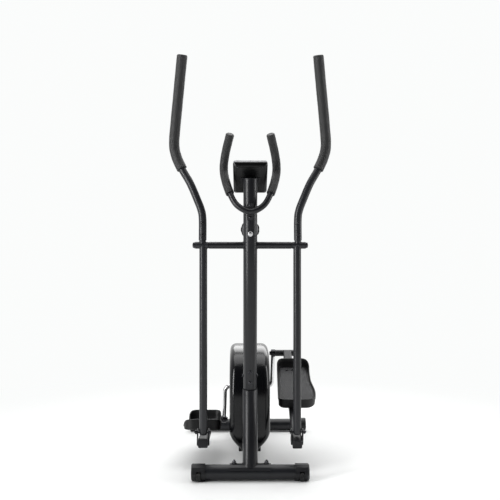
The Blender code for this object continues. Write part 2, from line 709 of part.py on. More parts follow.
def tray_outline(inset):
    """Plan of the foot tray as (x, y) points, drawn for the left side."""
    inner_toe, inner_heel = 0.112, 0.1195
    corners = ((inner_toe, TRAY_TOE, 0.026), (0.2520, TRAY_TOE, 0.040), (0.2640, TRAY_TOE + 0.105, 0.200),
               (0.2505, TRAY_HEEL - 0.120, 0.200), (0.2510, TRAY_HEEL, 0.034), (inner_heel, TRAY_HEEL, 0.026))
    points = []
    count = len(corners)
    for i, (x, y, radius) in enumerate(corners):
        corner = Vector((x, y, 0))
        back = (Vector((*corners[i - 1][:2], 0)) - corner).normalized()
        ahead = (Vector((*corners[(i + 1) % count][:2], 0)) - corner).normalized()
        half = back.angle(ahead) / 2
        centre = corner + (back + ahead).normalized() * (radius / math.sin(half))
        bulges = (centre - Vector((0.185, 0.33, 0))).length < 0.30
        reach = radius / math.tan(half)
        start = corner + back * reach - centre
        end = corner + ahead * reach - centre
        sweep = start.angle(end)
        steps = 6 if bulges and radius < 0.1 else 3
        for k in range(steps + 1):
            t = k / steps
            arm = (start * math.sin((1 - t) * sweep) + end * math.sin(t * sweep)) / math.sin(sweep)
            points.append(centre + arm)
    inward = []
    for i, point in enumerate(points):
        along = (points[(i + 1) % len(points)] - points[i - 1]).normalized()
        inward.append(point + Vector((-along.y, along.x, 0)) * inset)
    return inward


def tray_height(y):
    """Wall height: a high toe and heel with a low side between them."""
    toe = max(0.0, 1 - (y - TRAY_TOE) / 0.060)
    heel = max(0.0, 1 - (TRAY_HEEL - y) / 0.060)
    rise = max(toe, heel)
    return TRAY_LOW + (TRAY_HIGH - TRAY_LOW) * rise * rise * (3 - 2 * rise)


def pedal_tray(side, bottom):
    """A foot tray: floor, low sides, high toe and heel."""
    rings = []
    for inset, level in ((0.0020, "under"), (0.0, "rim"), (TRAY_WALL, "rim"), (TRAY_WALL + 0.001, "floor")):
        ring = []
        for point in tray_outline(inset):
            height = {"under": 0.0, "rim": tray_height(point.y), "floor": TRAY_FLOOR}[level]
            ring.append(Vector((side * point.x, point.y, bottom + height)))
        rings.append(ring)
    return skin("tray", rings)


def link_ring(x, y, half_w, half_h, corner):
    """Rounded rectangle across the pedal tube."""
    ring = []
    for cx, cz, first in ((1, 1, 0), (-1, 1, 90), (-1, -1, 180), (1, -1, 270)):
        for turn in (0, 45, 90):
            angle = math.radians(first + turn)
            ring.append(Vector((x + cx * (half_w - corner) + corner * math.cos(angle), y,
                                -LINK_DROP + cz * (half_h - corner) + corner * math.sin(angle))))
    return ring


def pedal_pieces(side_name, side, carrier):
    x = side * ARM_X
    pin = (LINK_LENGTH, -LINK_DROP)
    tube = skin("tube", [link_ring(x, y, LINK_HALF_W, LINK_HALF_H, 0.005) for y in (LINK_FRONT, LINK_REAR)])
    fuse(tube, rod("boss", (side * 0.1187, *pin), (side * 0.199, *pin), 0.01425, 16))
    for inner in (-EAR_IN - EAR_T, EAR_IN):
        outline = [(-0.016, -LINK_DROP - 0.010), (0.016, -LINK_DROP - 0.010)]
        for turn in range(0, 181, 30):
            angle = math.radians(turn)
            outline.append((0.0125 * math.cos(angle), 0.0125 * math.sin(angle)))
        fuse(tube, plate("ear", outline, x + inner, x + inner + EAR_T))
        fuse(tube, block("web", (x + min(inner, 0) + (0.0035 if inner < 0 else -0.0018), -0.016, -LINK_DROP - 0.010),
                         (x + max(inner, 0) + (0.0018 if inner > 0 else 0.0008 - 0.0005), 0.016,
                          -LINK_DROP + 0.006)))
    hollow = [link_ring(x, y, LINK_HALF_W - 0.002, LINK_HALF_H - 0.002, 0.003)
              for y in (LINK_FRONT + 0.003, LINK_REAR - 0.014)]
    cut(tube, skin("hollow", hollow))
    cut(tube, rod("hole", (x - 0.04, 0, 0), (x + 0.04, 0, 0), BOLT_HOLE, 16))
    cut(tube, rod("pin hole", (side * 0.110, *pin), (side * 0.21, *pin), 0.0083, 16))
    cut(tube, rod("drain", (x, 0.10, -LINK_DROP), (x, 0.10, -LINK_DROP - 0.03), 0.002, 6))
    keep(tube, "pedal_tube_" + side_name, "black_paint", carrier)

    tray_bottom = -LINK_DROP + LINK_HALF_H + GAP
    tray = pedal_tray(side, tray_bottom)
    keep(tray, "pedal_" + side_name, "tread_plastic", carrier)

    head_x = EAR_IN + EAR_T + GAP
    bolt = rod("bolt", (x - side * (head_x + 0.001), 0, 0), (x + side * (head_x + 0.007), 0, 0), JOINT_BOLT_R, 16)
    fuse(bolt, turned("head", (x - side * head_x, 0, 0), OUT * -side,
                      [(0, 0.0075), (0.003, 0.0068), (0.0045, 0.0035), (0.0046, 0)], 16))
    fuse(bolt, hex_nut((x + side * head_x, 0, 0), OUT * side, 0.0075, 0.0065, 0.003))
    keep(bolt, "joint_bolt_" + side_name, "dark_steel", carrier)
    crank_pin = rod("pin", (side * 0.1190, *pin), (side * 0.2005, *pin), 0.008, 16)
    fuse(crank_pin, turned("head", (side * 0.1993, *pin), OUT * side,
                           [(0, 0.0135), (0.004, 0.0135), (0.006, 0.010), (0.006, 0)], 16))
    keep(crank_pin, "crank_pin_" + side_name, "bright_steel", carrier)


for side_name, side in SIDES:
    pin_place = (CRANK_Y - side * CRANK_THROW * math.sin(CRANK_REST),
                 CRANK_Z + side * CRANK_THROW * math.cos(CRANK_REST))
    swing = arm_turn(pin_place)
    arm_pieces(side_name, side, holder("swing_axis_" + side_name, (0, PIVOT_Y, PIVOT_Z), swing))
    pedal_pieces(side_name, side, holder("pedal_axis_" + side_name, (0, *joint_place(swing)),
                                         link_turn(swing, pin_place)))


# ---------------------------------------------------------------- crank
FLANGE_X = 0.0525


def crank_bends(side):
    """One side's crank path, from the axle's middle out to its eye."""
    return [Vector((side * 0.030, CRANK_Y, CRANK_Z)), Vector((side * 0.104, CRANK_Y, CRANK_Z)),
            Vector((side * (EYE_X - 0.0004), CRANK_Y, CRANK_Z + side * (CRANK_THROW - 0.0125)))]


crank_axis = holder("crank_axis", (0, CRANK_Y, CRANK_Z), CRANK_REST)
path = crank_bends(-1)[::-1] + crank_bends(1)
crank = swept("crank", bent_path([path[0], path[1], path[4], path[5]], 0.024, 4), ROD_R, None, 12)
for _, side in SIDES:
    eye_z = CRANK_Z + side * CRANK_THROW
    eye = rod("eye", (side * (EYE_X - EYE_HALF), CRANK_Y, eye_z),
              (side * (EYE_X + EYE_HALF), CRANK_Y, eye_z), 0.0165, 16)
    fuse(crank, eye)
    cut(crank, rod("hole", (side * (EYE_X - 0.02), CRANK_Y, eye_z),
                   (side * (EYE_X + 0.02), CRANK_Y, eye_z), 0.0073, 16))
fuse(crank, turned("flange", (FLANGE_X, CRANK_Y, CRANK_Z), OUT,
                   [(0, 0.030), (0.003, 0.030)], 16))
for turn in range(3):
    angle = math.tau * turn / 3 + 0.5
    spot = (CRANK_Y + 0.022 * math.cos(angle), CRANK_Z + 0.022 * math.sin(angle))
    fuse(crank, rod("stud", (FLANGE_X + 0.001, *spot), (BELT_X - 0.004, *spot), 0.003, 8))
crank.data.transform(Matrix.Translation((0, -CRANK_Y, -CRANK_Z)))
keep(crank, "crank", "bright_steel", crank_axis)

for side_name, side in SIDES:
    spot = (side * (EYE_X - EYE_HALF - GAP), 0, side * CRANK_THROW)
    nut = turned("washer", spot, OUT * -side, [(0, 0.0115), (0.0016, 0.0115)], 16)
    fuse(nut, hex_nut((spot[0] - side * 0.001, *spot[1:]), OUT * -side, 0.0095, 0.0065))
    fuse(nut, rod("stud", (spot[0] - side * 0.002, *spot[1:]),
                  (side * (EYE_X + EYE_HALF - 0.001), *spot[1:]), 0.007, 16))
    keep(nut, "crank_nut_" + side_name, "bright_steel", crank_axis)

pulley_low, pulley_high = BELT_X - 0.007, BELT_X + 0.007
pulley = turned("pulley", (0, 0, 0), OUT, [
    (pulley_low, ROD_R + 0.0015), (pulley_low, 0.030), (BELT_X - 0.002, 0.032), (BELT_X - 0.002, DRIVE_R - 0.008),
    (pulley_low, DRIVE_R - 0.007), (pulley_low, DRIVE_R), (pulley_high, DRIVE_R), (pulley_high, DRIVE_R - 0.007),
    (BELT_X + 0.002, DRIVE_R - 0.008), (BELT_X + 0.002, 0.032), (pulley_high, 0.030),
    (pulley_high, ROD_R + 0.0015)], 28, True)
for turn in range(3):
    angle = math.tau * turn / 3 + 0.5
    spot = (0.022 * math.cos(angle), 0.022 * math.sin(angle))
    cut(pulley, rod("hole", (0.03, *spot), (0.06, *spot), 0.0033, 8))
for turn in range(5):
    angle = math.tau * turn / 5 + 0.13
    spot = (0.068 * math.cos(angle), 0.068 * math.sin(angle))
    cut(pulley, rod("window", (0.03, *spot), (0.06, *spot), 0.019, 10))
keep(pulley, "drive_pulley", "black_plastic", crank_axis)

bearing = pipe("bearing", (-SHELL_HALF, CRANK_Y, CRANK_Z), (SHELL_HALF, CRANK_Y, CRANK_Z),
               SHELL_BORE - GAP, ROD_R + 2 * GAP, 16)
keep(bearing, "crank_bearing", "dark_steel")


# ---------------------------------------------------------------- flywheel drive
flywheel_axis = holder("flywheel_axis", (0, *FLYWHEEL))
wheel = turned("flywheel", (0, 0, 0), OUT, [
    (-0.0200, AXLE_R + GAP), (-0.0200, 0.024), (-0.0130, 0.030), (-0.0130, 0.086), (-0.0200, 0.092),
    (-0.0200, FLYWHEEL_R), (0.0040, FLYWHEEL_R), (0.0040, 0.092), (-0.0030, 0.086), (-0.0030, 0.030),
    (0.0040, 0.024), (0.0040, AXLE_R + GAP)], 24, True)
keep(wheel, "flywheel", "cast_iron", flywheel_axis)
small = turned("pulley", (0, 0, 0), OUT, [
    (0.0043, AXLE_R + GAP), (0.0043, 0.013), (pulley_low, 0.013), (pulley_low, SMALL_R + 0.002),
    (pulley_low + 0.001, SMALL_R), (pulley_high - 0.001, SMALL_R), (pulley_high, SMALL_R + 0.002),
    (pulley_high, AXLE_R + GAP)], 16, True)
keep(small, "flywheel_pulley", "dark_steel", flywheel_axis)

axle = rod("axle", (-0.0460, *FLYWHEEL), (0.0670, *FLYWHEEL), AXLE_R, 16)
for start, way in ((NEAR_PLATE_X - PLATE_T / 2 - GAP, -1), (FAR_PLATE_X + PLATE_T / 2 + GAP, 1)):
    fuse(axle, hex_nut((start, *FLYWHEEL), OUT * way, 0.0098, 0.006))
keep(axle, "flywheel_axle", "dark_steel")


def belt_loop(extra):
    """The belt's path round both pulleys as (y, z) points, extra above the pulleys."""
    small_c, large_c = Vector(FLYWHEEL), Vector((CRANK_Y, CRANK_Z))
    between = large_c - small_c
    heading = math.atan2(between.y, between.x)
    wrap = math.acos((SMALL_R - DRIVE_R) / between.length)
    points = []
    for k in range(31):
        angle = heading - wrap + 2 * wrap * k / 30
        radius = DRIVE_R + extra
        points.append((large_c.x + radius * math.cos(angle), large_c.y + radius * math.sin(angle)))
    for k in range(11):
        angle = heading + wrap + (math.tau - 2 * wrap) * k / 10
        radius = SMALL_R + extra
        points.append((small_c.x + radius * math.cos(angle), small_c.y + radius * math.sin(angle)))
    return points, heading - wrap


BELT_T = 0.0024
inner_loop, lower_heading = belt_loop(GAP + 0.0002)
outer_loop, _ = belt_loop(GAP + 0.0002 + BELT_T)
belt_rings = []
for y_z in zip(inner_loop, outer_loop):
    (iy, iz), (oy, oz) = y_z
    low_x, high_x = BELT_X - 0.0055, BELT_X + 0.0055
    belt_rings.append([Vector((low_x, iy, iz)), Vector((high_x, iy, iz)),
                       Vector((high_x, oy, oz)), Vector((low_x, oy, oz))])
keep(skin("belt", belt_rings, True), "drive_belt", "rubber")

# The idler wheel rides on the outside of the belt's lower run.
lower_normal = Vector((math.cos(lower_heading), math.sin(lower_heading)))
run_middle = (Vector(FLYWHEEL) + lower_normal * SMALL_R) * 0.5 \
    + (Vector((CRANK_Y, CRANK_Z)) + lower_normal * DRIVE_R) * 0.5
idler_place = run_middle + lower_normal * (IDLER_R + BELT_T + 3 * GAP)
idler_arm_x = 0.0330
arm_outline = []
to_wheel = idler_place - Vector(IDLER_PIVOT)
arm_heading = math.atan2(to_wheel.y, to_wheel.x)
for centre, first in ((Vector(IDLER_PIVOT), 90), (idler_place, -90)):
    for turn in range(0, 181, 30):
        angle = arm_heading + math.radians(first + turn)
        arm_outline.append((centre.x + 0.009 * math.cos(angle), centre.y + 0.009 * math.sin(angle)))
idler = plate("idler", arm_outline, idler_arm_x - 0.0018, idler_arm_x + 0.0018)
fuse(idler, rod("pivot", (0.0245, *IDLER_PIVOT), (idler_arm_x, *IDLER_PIVOT), 0.004, 16))
fuse(idler, rod("pin", (idler_arm_x, *idler_place), (0.0520, *idler_place), 0.004, 16))
keep(recentre(idler, (0, *IDLER_PIVOT)), "idler_arm", "dark_steel")
idler_wheel = turned("wheel", (0, *idler_place), OUT, [
    (BELT_X - 0.0065, 0.0043), (BELT_X - 0.0065, IDLER_R - 0.001), (BELT_X - 0.0055, IDLER_R),
    (BELT_X + 0.0055, IDLER_R), (BELT_X + 0.0065, IDLER_R - 0.001), (BELT_X + 0.0065, 0.0043)], 20, True)
keep(recentre(idler_wheel, (0, *idler_place)), "idler_wheel", "grey_plastic")


# ---------------------------------------------------------------- magnetic brake
BRAKE_PIN_R = 0.003


def around(radius, degrees):
    angle = math.radians(degrees)
    return (FLYWHEEL[0] + radius * math.cos(angle), FLYWHEEL[1] + radius * math.sin(angle))


arc = [around(BRAKE_RADIUS + 0.0015, turn) for turn in range(115, 196, 8)]
arc += [around(BRAKE_RADIUS - 0.0015, turn) for turn in range(195, 114, -8)]
brake = plate("brake", arc, -0.0240, 0.0080)
lug_outline = [around(BRAKE_RADIUS - 0.0015, 186), around(BRAKE_RADIUS + 0.0015, 186)]
for turn in range(180, 361, 30):
    angle = math.radians(turn)
    lug_outline.append((BRAKE_PIVOT[0] + 0.008 * math.cos(angle), BRAKE_PIVOT[1] + 0.008 * math.sin(angle)))
fuse(brake, plate("lug", lug_outline, -0.0280, -0.0230))
fuse(brake, rod("pin", (-0.0360, *BRAKE_PIVOT), (-0.0250, *BRAKE_PIVOT), BRAKE_PIN_R, 16))
keep(recentre(brake, (0, *BRAKE_PIVOT)), "brake_bracket", "dark_steel")
magnet_outline = [around(BRAKE_RADIUS - 0.0015 - 0.0006, turn) for turn in range(120, 179, 8)]
magnet_outline += [around(BRAKE_RADIUS - 0.0050, turn) for turn in range(176, 119, -8)]
magnet = plate("magnet", magnet_outline, -0.0180, 0.0020)
keep(recentre(magnet, (0, *BRAKE_PIVOT)), "brake_magnet", "bright_steel")


# ---------------------------------------------------------------- housing
HOUSING_POINTS = ((0.128, 0.1275), (0.131, 0.2225), (0.138, 0.3175), (0.175, 0.3995), (0.255, 0.4415),
                  (0.370, 0.4535), (0.490, 0.4465), (0.600, 0.4185), (0.690, 0.3575), (0.745, 0.2695),
                  (0.760, 0.1875), (0.748, 0.1125), (0.700, 0.0695), (0.600, 0.0625), (0.440, 0.0625),
                  (0.280, 0.0625), (0.180, 0.0645), (0.142, 0.0795))
NECK_Z = 0.0820


HOUSING_MIDDLE = (0.444, 0.2580)
HOUSING_REACH = (0.316, 0.1955)


def housing_outline(inset):
    """Side profile of the casing as (y, z) points, drawn in towards its middle by inset."""
    middle = Vector((FRONT_Y + HOUSING_MIDDLE[0], HOUSING_MIDDLE[1]))
    scale = [1 - inset / reach for reach in HOUSING_REACH]
    return [(middle.x + (FRONT_Y + y - middle.x) * scale[0], middle.y + (z - middle.y) * scale[1])
            for y, z in HOUSING_POINTS]


def waist(z):
    """How much of its full width the casing has at a height: it narrows to the keel."""
    t = min(1.0, max(0.0, (z - NECK_Z) / 0.060))
    return 0.56 + 0.44 * (1 - (1 - t) ** 1.6)


def casing(side, inset, start):
    """Half of the casing's form, filled, as rings from the split line outwards."""
    fillet = HOUSING_FILLET - inset
    flat = HOUSING_HALF - inset - fillet
    rings = []
    stations = [(start, 0.0), (flat, 0.0)]
    for turn in (30, 60, 90):
        angle = math.radians(turn)
        stations.append((flat + fillet * math.sin(angle), fillet * (1 - math.cos(angle))))
    stations.append((flat + fillet, 0.085))
    for x, shrink in stations:
        ring = []
        for y, z in housing_outline(inset + shrink):
            width = x * waist(z) if x > start else x
            ring.append(Vector((side * width, y, z)))
        rings.append(ring)
    return skin("casing", rings)


for side_name, side in SIDES:
    shell = casing(side, 0.0, GAP / 2)
    cut(shell, casing(side, HOUSING_WALL, -0.001))
    cut(shell, rod("keel way", (0, FRONT_Y + 0.10, KEEL_Z), (0, FRONT_Y + 0.80, KEEL_Z), KEEL_R + 0.0010, 16))
    cut(shell, rod("crank way", (side * 0.05, CRANK_Y, CRANK_Z), (side * 0.10, CRANK_Y, CRANK_Z), 0.0150, 16))
    cut(shell, rod("cable way", (0, FRONT_Y + 0.11, 0.4175), (0, FRONT_Y + 0.21, 0.3855), 0.0035, 8))
    keep(shell, "housing_" + side_name, "gloss_plastic")


# ---------------------------------------------------------------- tension knob and cable
KNOB_R = 0.035
knob_turn = math.atan(POST_LEAN)
knob_axis = holder("knob_axis", post_axis(KNOB_Z), knob_turn)
base = turned("base", (0, POST_R - 0.012, 0), (0, 1, 0), [(0, 0.028), (0.030, 0.030)], 20)
cut(base, rod("post", (0, 0, -0.06), (0, 0, 0.06), POST_R + GAP, 16))
screw_drop = (KNOB_Z - KNOB_SCREW_Z) / POST_UP.z
cut(base, rod("hole", (0, 0, -screw_drop), (0, POST_R + 0.012, -screw_drop), 0.0028, 8))
cut(base, rod("hole", (0, POST_R + 0.008, 0), (0, POST_R + 0.030, 0), 0.0053, 16))
keep(base, "knob_base", "grey_plastic", knob_axis)

knob = turned("knob", (0, POST_R + 0.0185, 0), (0, 1, 0),
              [(0, KNOB_R), (0.012, KNOB_R), (0.018, KNOB_R - 0.004), (0.020, KNOB_R - 0.010)], 27)
for turn in range(9):
    angle = math.tau * turn / 9
    cut(knob, rod("flute", (1.10 * KNOB_R * math.cos(angle), POST_R + 0.0100, 1.10 * KNOB_R * math.sin(angle)),
                  (1.10 * KNOB_R * math.cos(angle), POST_R + 0.0450, 1.10 * KNOB_R * math.sin(angle)), 0.0065, 8))
fuse(knob, rod("spindle", (0, POST_R + 0.0100, 0), (0, POST_R + 0.0200, 0), 0.005, 16))
keep(knob, "tension_knob", "black_plastic", knob_axis)

knob_screw = screw((0, -POST_R - GAP, -screw_drop), (0, 1, 0), 2 * POST_R + 0.010, 0.0025, 0.0082, 0.0042, 16)
keep(knob_screw, "knob_screw", "bright_steel", knob_axis)

CABLE_RUN = ((CABLE_IN_Z, 0.0250), (CABLE_IN_Z, 0.0222), (0.8765, 0.0203), (0.8645, 0.0200), (0.8445, 0.0200),
             (0.8095, 0.0170), (0.7095, 0.0100), (0.5695, 0.0040), (0.4795, 0.0050), (0.4535, 0.0120),
             (0.4430, 0.0195), (CABLE_OUT_Z, 0.0236), (CABLE_OUT_Z, 0.0262))
cable_points = [post_axis(z) + POST_BACK * offset for z, offset in CABLE_RUN]
cable_points += [Vector((0, FRONT_Y + y, z)) for y, z in ((0.110, 0.4250), (0.160, 0.4010), (0.205, 0.3885))]
cable_points.append(Vector((0, *around(BRAKE_RADIUS + 0.0045, 119))))
keep(swept("cable", smooth_path(cable_points, 1), 0.0014, None, 6), "tension_cable", "rubber")


# ---------------------------------------------------------------- console
console_axis = holder("console_axis", (0, *CONSOLE_BACK), CONSOLE_TILT)
CONSOLE_SPLIT = 0.014
CONSOLE_WALL = 0.0022
WINDOW = (0.044, 0.004, 0.040)       # half width, bottom and top of the display window
BUTTON_Z = -0.030
BUTTON_R = 0.0085


def console_ring(depth, inset, taper=0.0):
    """Rounded rectangle at a depth, slightly narrower at the foot."""
    half_w, half_h, corner = CONSOLE_HALF_W - inset, CONSOLE_HALF_H - inset, 0.010 - inset * 0.5
    ring = []
    for cx, cz, first in ((1, 1, 0), (-1, 1, 90), (-1, -1, 180), (1, -1, 270)):
        for turn in (0, 30, 60, 90):
            angle = math.radians(first + turn)
            z = cz * (half_h - corner) + corner * math.sin(angle)
            x = cx * (half_w - corner) + corner * math.cos(angle)
            ring.append(Vector((x * (1 - taper * (0.5 - z / (2 * CONSOLE_HALF_H))), depth, z)))
    return ring


TAPER = 0.035
back = skin("back", [console_ring(0, 0.0020, TAPER), console_ring(0.002, 0, TAPER),
                     console_ring(CONSOLE_SPLIT, 0, TAPER)])
cut(back, skin("room", [console_ring(CONSOLE_WALL + 0.0015, CONSOLE_WALL, TAPER),
                        console_ring(CONSOLE_SPLIT + 0.01, CONSOLE_WALL, TAPER)]))
cut(back, block("hatch", (-0.0415, -0.01, 0.0145), (0.0415, 0.0021, 0.0485)))
cut(back, block("well", (-0.0390, -0.01, 0.0170), (0.0390, 0.02, 0.0460)))
keep(back, "console_back", "black_plastic", console_axis)

front = skin("front", [console_ring(CONSOLE_SPLIT + GAP, 0, TAPER), console_ring(CONSOLE_DEPTH - 0.004, 0, TAPER),
                       console_ring(CONSOLE_DEPTH, 0.004, TAPER)])
cut(front, skin("room", [console_ring(CONSOLE_SPLIT - 0.01, CONSOLE_WALL, TAPER),
                         console_ring(CONSOLE_DEPTH - CONSOLE_WALL, CONSOLE_WALL + 0.002, TAPER)]))
cut(front, block("window", (-WINDOW[0], 0, WINDOW[1]), (WINDOW[0], 0.05, WINDOW[2])))
cut(front, rod("hole", (0, 0.02, BUTTON_Z), (0, 0.05, BUTTON_Z), BUTTON_R + 0.0008, 16))
keep(front, "console_front", "grey_plastic", console_axis)

lens = block("lens", (-WINDOW[0] + GAP, CONSOLE_DEPTH - 0.0020, WINDOW[1] + GAP),
             (WINDOW[0] - GAP, CONSOLE_DEPTH - 0.0004, WINDOW[2] - GAP))
keep(lens, "console_lens", "clear_plastic", console_axis)
board = block("board", (-0.052, 0.0150, -0.045), (0.052, 0.0166, 0.045))
keep(board, "console_board", "circuit_board", console_axis)
door = block("door", (-0.0410, 0.0003, 0.0150), (0.0410, 0.0018, 0.0480))
fuse(door, *[block("rib", (-0.030, -0.0006, 0.0195 + 0.005 * k), (0.030, 0.0006, 0.0215 + 0.005 * k))
             for k in range(5)])
keep(door, "battery_door", "black_plastic", console_axis)
button = turned("button", (0, 0.0175, BUTTON_Z), (0, 1, 0),
                [(0, 0), (0, BUTTON_R + 0.002), (0.0020, BUTTON_R + 0.002), (0.0020, BUTTON_R),
                 (0.0135, BUTTON_R), (0.0145, BUTTON_R - 0.0015), (0.0145, 0)], 16)
keep(button, "mode_button", "rubber", console_axis)
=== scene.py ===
"""Cross trainer with a rear crank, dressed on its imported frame, in the order it is put together.

Metres, +Z up. The console end faces -Y. "left" pieces are on the +X side, the user's left.
"""
import json
import math

import bmesh
import bpy
from mathutils import Matrix, Vector


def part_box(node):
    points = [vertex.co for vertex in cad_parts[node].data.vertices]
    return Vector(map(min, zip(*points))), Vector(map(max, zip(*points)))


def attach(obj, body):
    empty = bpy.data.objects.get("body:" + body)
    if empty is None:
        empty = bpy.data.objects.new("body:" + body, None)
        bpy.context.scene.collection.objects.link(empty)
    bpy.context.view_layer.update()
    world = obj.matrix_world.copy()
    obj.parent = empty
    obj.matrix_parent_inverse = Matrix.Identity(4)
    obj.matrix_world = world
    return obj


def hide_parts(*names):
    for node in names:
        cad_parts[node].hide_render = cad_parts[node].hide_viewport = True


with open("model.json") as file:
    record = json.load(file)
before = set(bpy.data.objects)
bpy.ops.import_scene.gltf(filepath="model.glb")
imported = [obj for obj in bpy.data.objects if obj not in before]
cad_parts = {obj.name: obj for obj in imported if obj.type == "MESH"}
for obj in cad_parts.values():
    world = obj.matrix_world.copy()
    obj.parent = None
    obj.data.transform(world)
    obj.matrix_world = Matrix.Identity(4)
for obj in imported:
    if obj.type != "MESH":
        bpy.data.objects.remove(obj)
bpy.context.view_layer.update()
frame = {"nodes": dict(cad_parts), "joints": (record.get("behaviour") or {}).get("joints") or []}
nodes = frame["nodes"]
scene = bpy.context.scene


# ------------------------------------------------------------------ the studio
# A plain white photographic studio: a seamless pale floor, a large soft light on each
# side, one overhead, and the camera low in front of the console end.
FLOOR_WHITE = (0.80, 0.806, 0.802, 1.0)
PAPER_GLOW = (0.965, 0.975, 0.970, 1.0)
CAMERA_PLACE = (-0.0359, -3.08485, 0.7865)
CAMERA_YAW = math.radians(-0.74)
CAMERA_LENS = 53.42
CAMERA_SHIFT_Y = 0.0284
SOFTBOXES = (
    # name, place, width, height, power in watts
    ("softbox_left", (-2.5, -1.9, 1.5), 0.7, 2.6, 78),
    ("softbox_right", (2.9, -0.4, 1.7), 0.8, 2.4, 34),
    ("softbox_top", (0.0, 0.4, 3.6), 3.6, 3.6, 95),
    ("softbox_back", (0.6, 3.2, 2.2), 3.0, 2.0, 45),
)


def wire(tree, kind, x, y, **values):
    """A shader node at a place in its tree, with sockets and settings given by name."""
    made = tree.nodes.new(kind)
    made.location = (x, y)
    for name, value in values.items():
        label = name.replace("_", " ")
        if label in made.inputs:
            made.inputs[label].default_value = value
        else:
            setattr(made, name, value)
    return made


def join(tree, *rows):
    """Link the nodes of a tree by rows of (node, its output, next node, its input)."""
    for source, output, target, entry in rows:
        tree.links.new(source.outputs[output], target.inputs[entry])


floor_mesh = bmesh.new()
bmesh.ops.create_grid(floor_mesh, x_segments=24, y_segments=24, size=9.0)
floor_data = bpy.data.meshes.new("studio_floor")
floor_mesh.to_mesh(floor_data)
floor_mesh.free()
floor = bpy.data.objects.new("studio_floor", floor_data)
scene.collection.objects.link(floor)
floor_material = bpy.data.materials.new("studio_paper")
floor_material.use_nodes = True
floor_tree = floor_material.node_tree
paper = floor_tree.nodes["Principled BSDF"]
paper.inputs["Roughness"].default_value = 0.75
paper.inputs["Specular IOR Level"].default_value = 0.2
paper_grain = wire(floor_tree, "ShaderNodeTexNoise", -600, 0, Scale=420.0, Detail=3.0)
paper_tone = wire(floor_tree, "ShaderNodeMapRange", -400, 0, To_Min=0.985, To_Max=1.0)
paper_mix = wire(floor_tree, "ShaderNodeMix", -200, 0, data_type="RGBA", blend_type="MULTIPLY")
paper_mix.inputs["Factor"].default_value = 1.0
paper_mix.inputs[6].default_value = FLOOR_WHITE
join(floor_tree, (paper_grain, "Fac", paper_tone, "Value"), (paper_tone, "Result", paper_mix, 7),
                 (paper_mix, 2, paper, "Base Color"))
# The paper runs off into the bright background, so no horizon shows behind the machine.
paper_place = wire(floor_tree, "ShaderNodeTexCoord", -900, -400)
paper_reach = wire(floor_tree, "ShaderNodeVectorMath", -700, -400, operation="LENGTH")
paper_fade = wire(floor_tree, "ShaderNodeMapRange", -450, -400, interpolation_type="SMOOTHSTEP",
                  From_Min=0.60, From_Max=2.10)
paper_glow = wire(floor_tree, "ShaderNodeEmission", -200, -400, Color=PAPER_GLOW, Strength=1.0)
paper_blend = wire(floor_tree, "ShaderNodeMixShader", 500, 0)
join(floor_tree, (paper_place, "Object", paper_reach, 0),
                 (paper_reach, "Value", paper_fade, "Value"),
                 (paper_fade, "Result", paper_blend, 0), (paper, 0, paper_blend, 1),
                 (paper_glow, 0, paper_blend, 2),
                 (paper_blend, 0, floor_tree.nodes["Material Output"], "Surface"))
floor_data.materials.append(floor_material)

for name, place, width, height, power in SOFTBOXES:
    lamp = bpy.data.lights.new(name, "AREA")
    lamp.shape = "RECTANGLE"
    lamp.size = width
    lamp.size_y = height
    lamp.energy = power
    softbox = bpy.data.objects.new(name, lamp)
    softbox.location = place
    aim = Vector((0.0, 0.0, 0.8)) - Vector(place)
    softbox.rotation_euler = aim.to_track_quat("-Z", "Y").to_euler()
    scene.collection.objects.link(softbox)

world = bpy.data.worlds.new("studio")
world.use_nodes = True
world_tree = world.node_tree
room = world_tree.nodes["Background"]
room.inputs["Color"].default_value = (1.0, 1.0, 1.0, 1.0)
heading = wire(world_tree, "ShaderNodeTexCoord", -900, 0)
compass = wire(world_tree, "ShaderNodeSeparateXYZ", -700, 0)
dimming = wire(world_tree, "ShaderNodeMapRange", -450, 0, interpolation_type="SMOOTHSTEP",
               From_Min=-0.80, From_Max=0.55, To_Min=0.05, To_Max=0.70)
join(world_tree, (heading, "Generated", compass, 0), (compass, "Y", dimming, "Value"),
                 (dimming, "Result", room, "Strength"))
backdrop = wire(world_tree, "ShaderNodeBackground", 0, -200, Color=PAPER_GLOW, Strength=1.0)
seen = wire(world_tree, "ShaderNodeLightPath", 0, 200)
choose = wire(world_tree, "ShaderNodeMixShader", 300, 0)
join(world_tree, (seen, "Is Camera Ray", choose, 0), (room, 0, choose, 1), (backdrop, 0, choose, 2),
                 (choose, 0, world_tree.nodes["World Output"], "Surface"))
scene.world = world
scene.view_settings.view_transform = "Standard"

camera_data = bpy.data.cameras.new("camera")
camera_data.lens = CAMERA_LENS
camera_data.sensor_width = 36.0
camera_data.shift_y = CAMERA_SHIFT_Y
camera = bpy.data.objects.new("camera", camera_data)
camera.location = CAMERA_PLACE
camera.rotation_euler = (math.radians(90), 0.0, CAMERA_YAW)
scene.collection.objects.link(camera)
scene.camera = camera


# ------------------------------------------------------------------ stabilisers
# Two steel cross tubes stand on the floor. They are powder coated in satin black, a
# little cooler and darker than the arms, and close with moulded plastic end caps.
FRONT_Y = -0.38485
REAR_Y = FRONT_Y + 0.800
STAB_Z = 0.030
STAB_R = 0.0275
ROUND = 48                   # sides of a round tube
STAB_COLOUR = (0.0036, 0.0041, 0.0056)


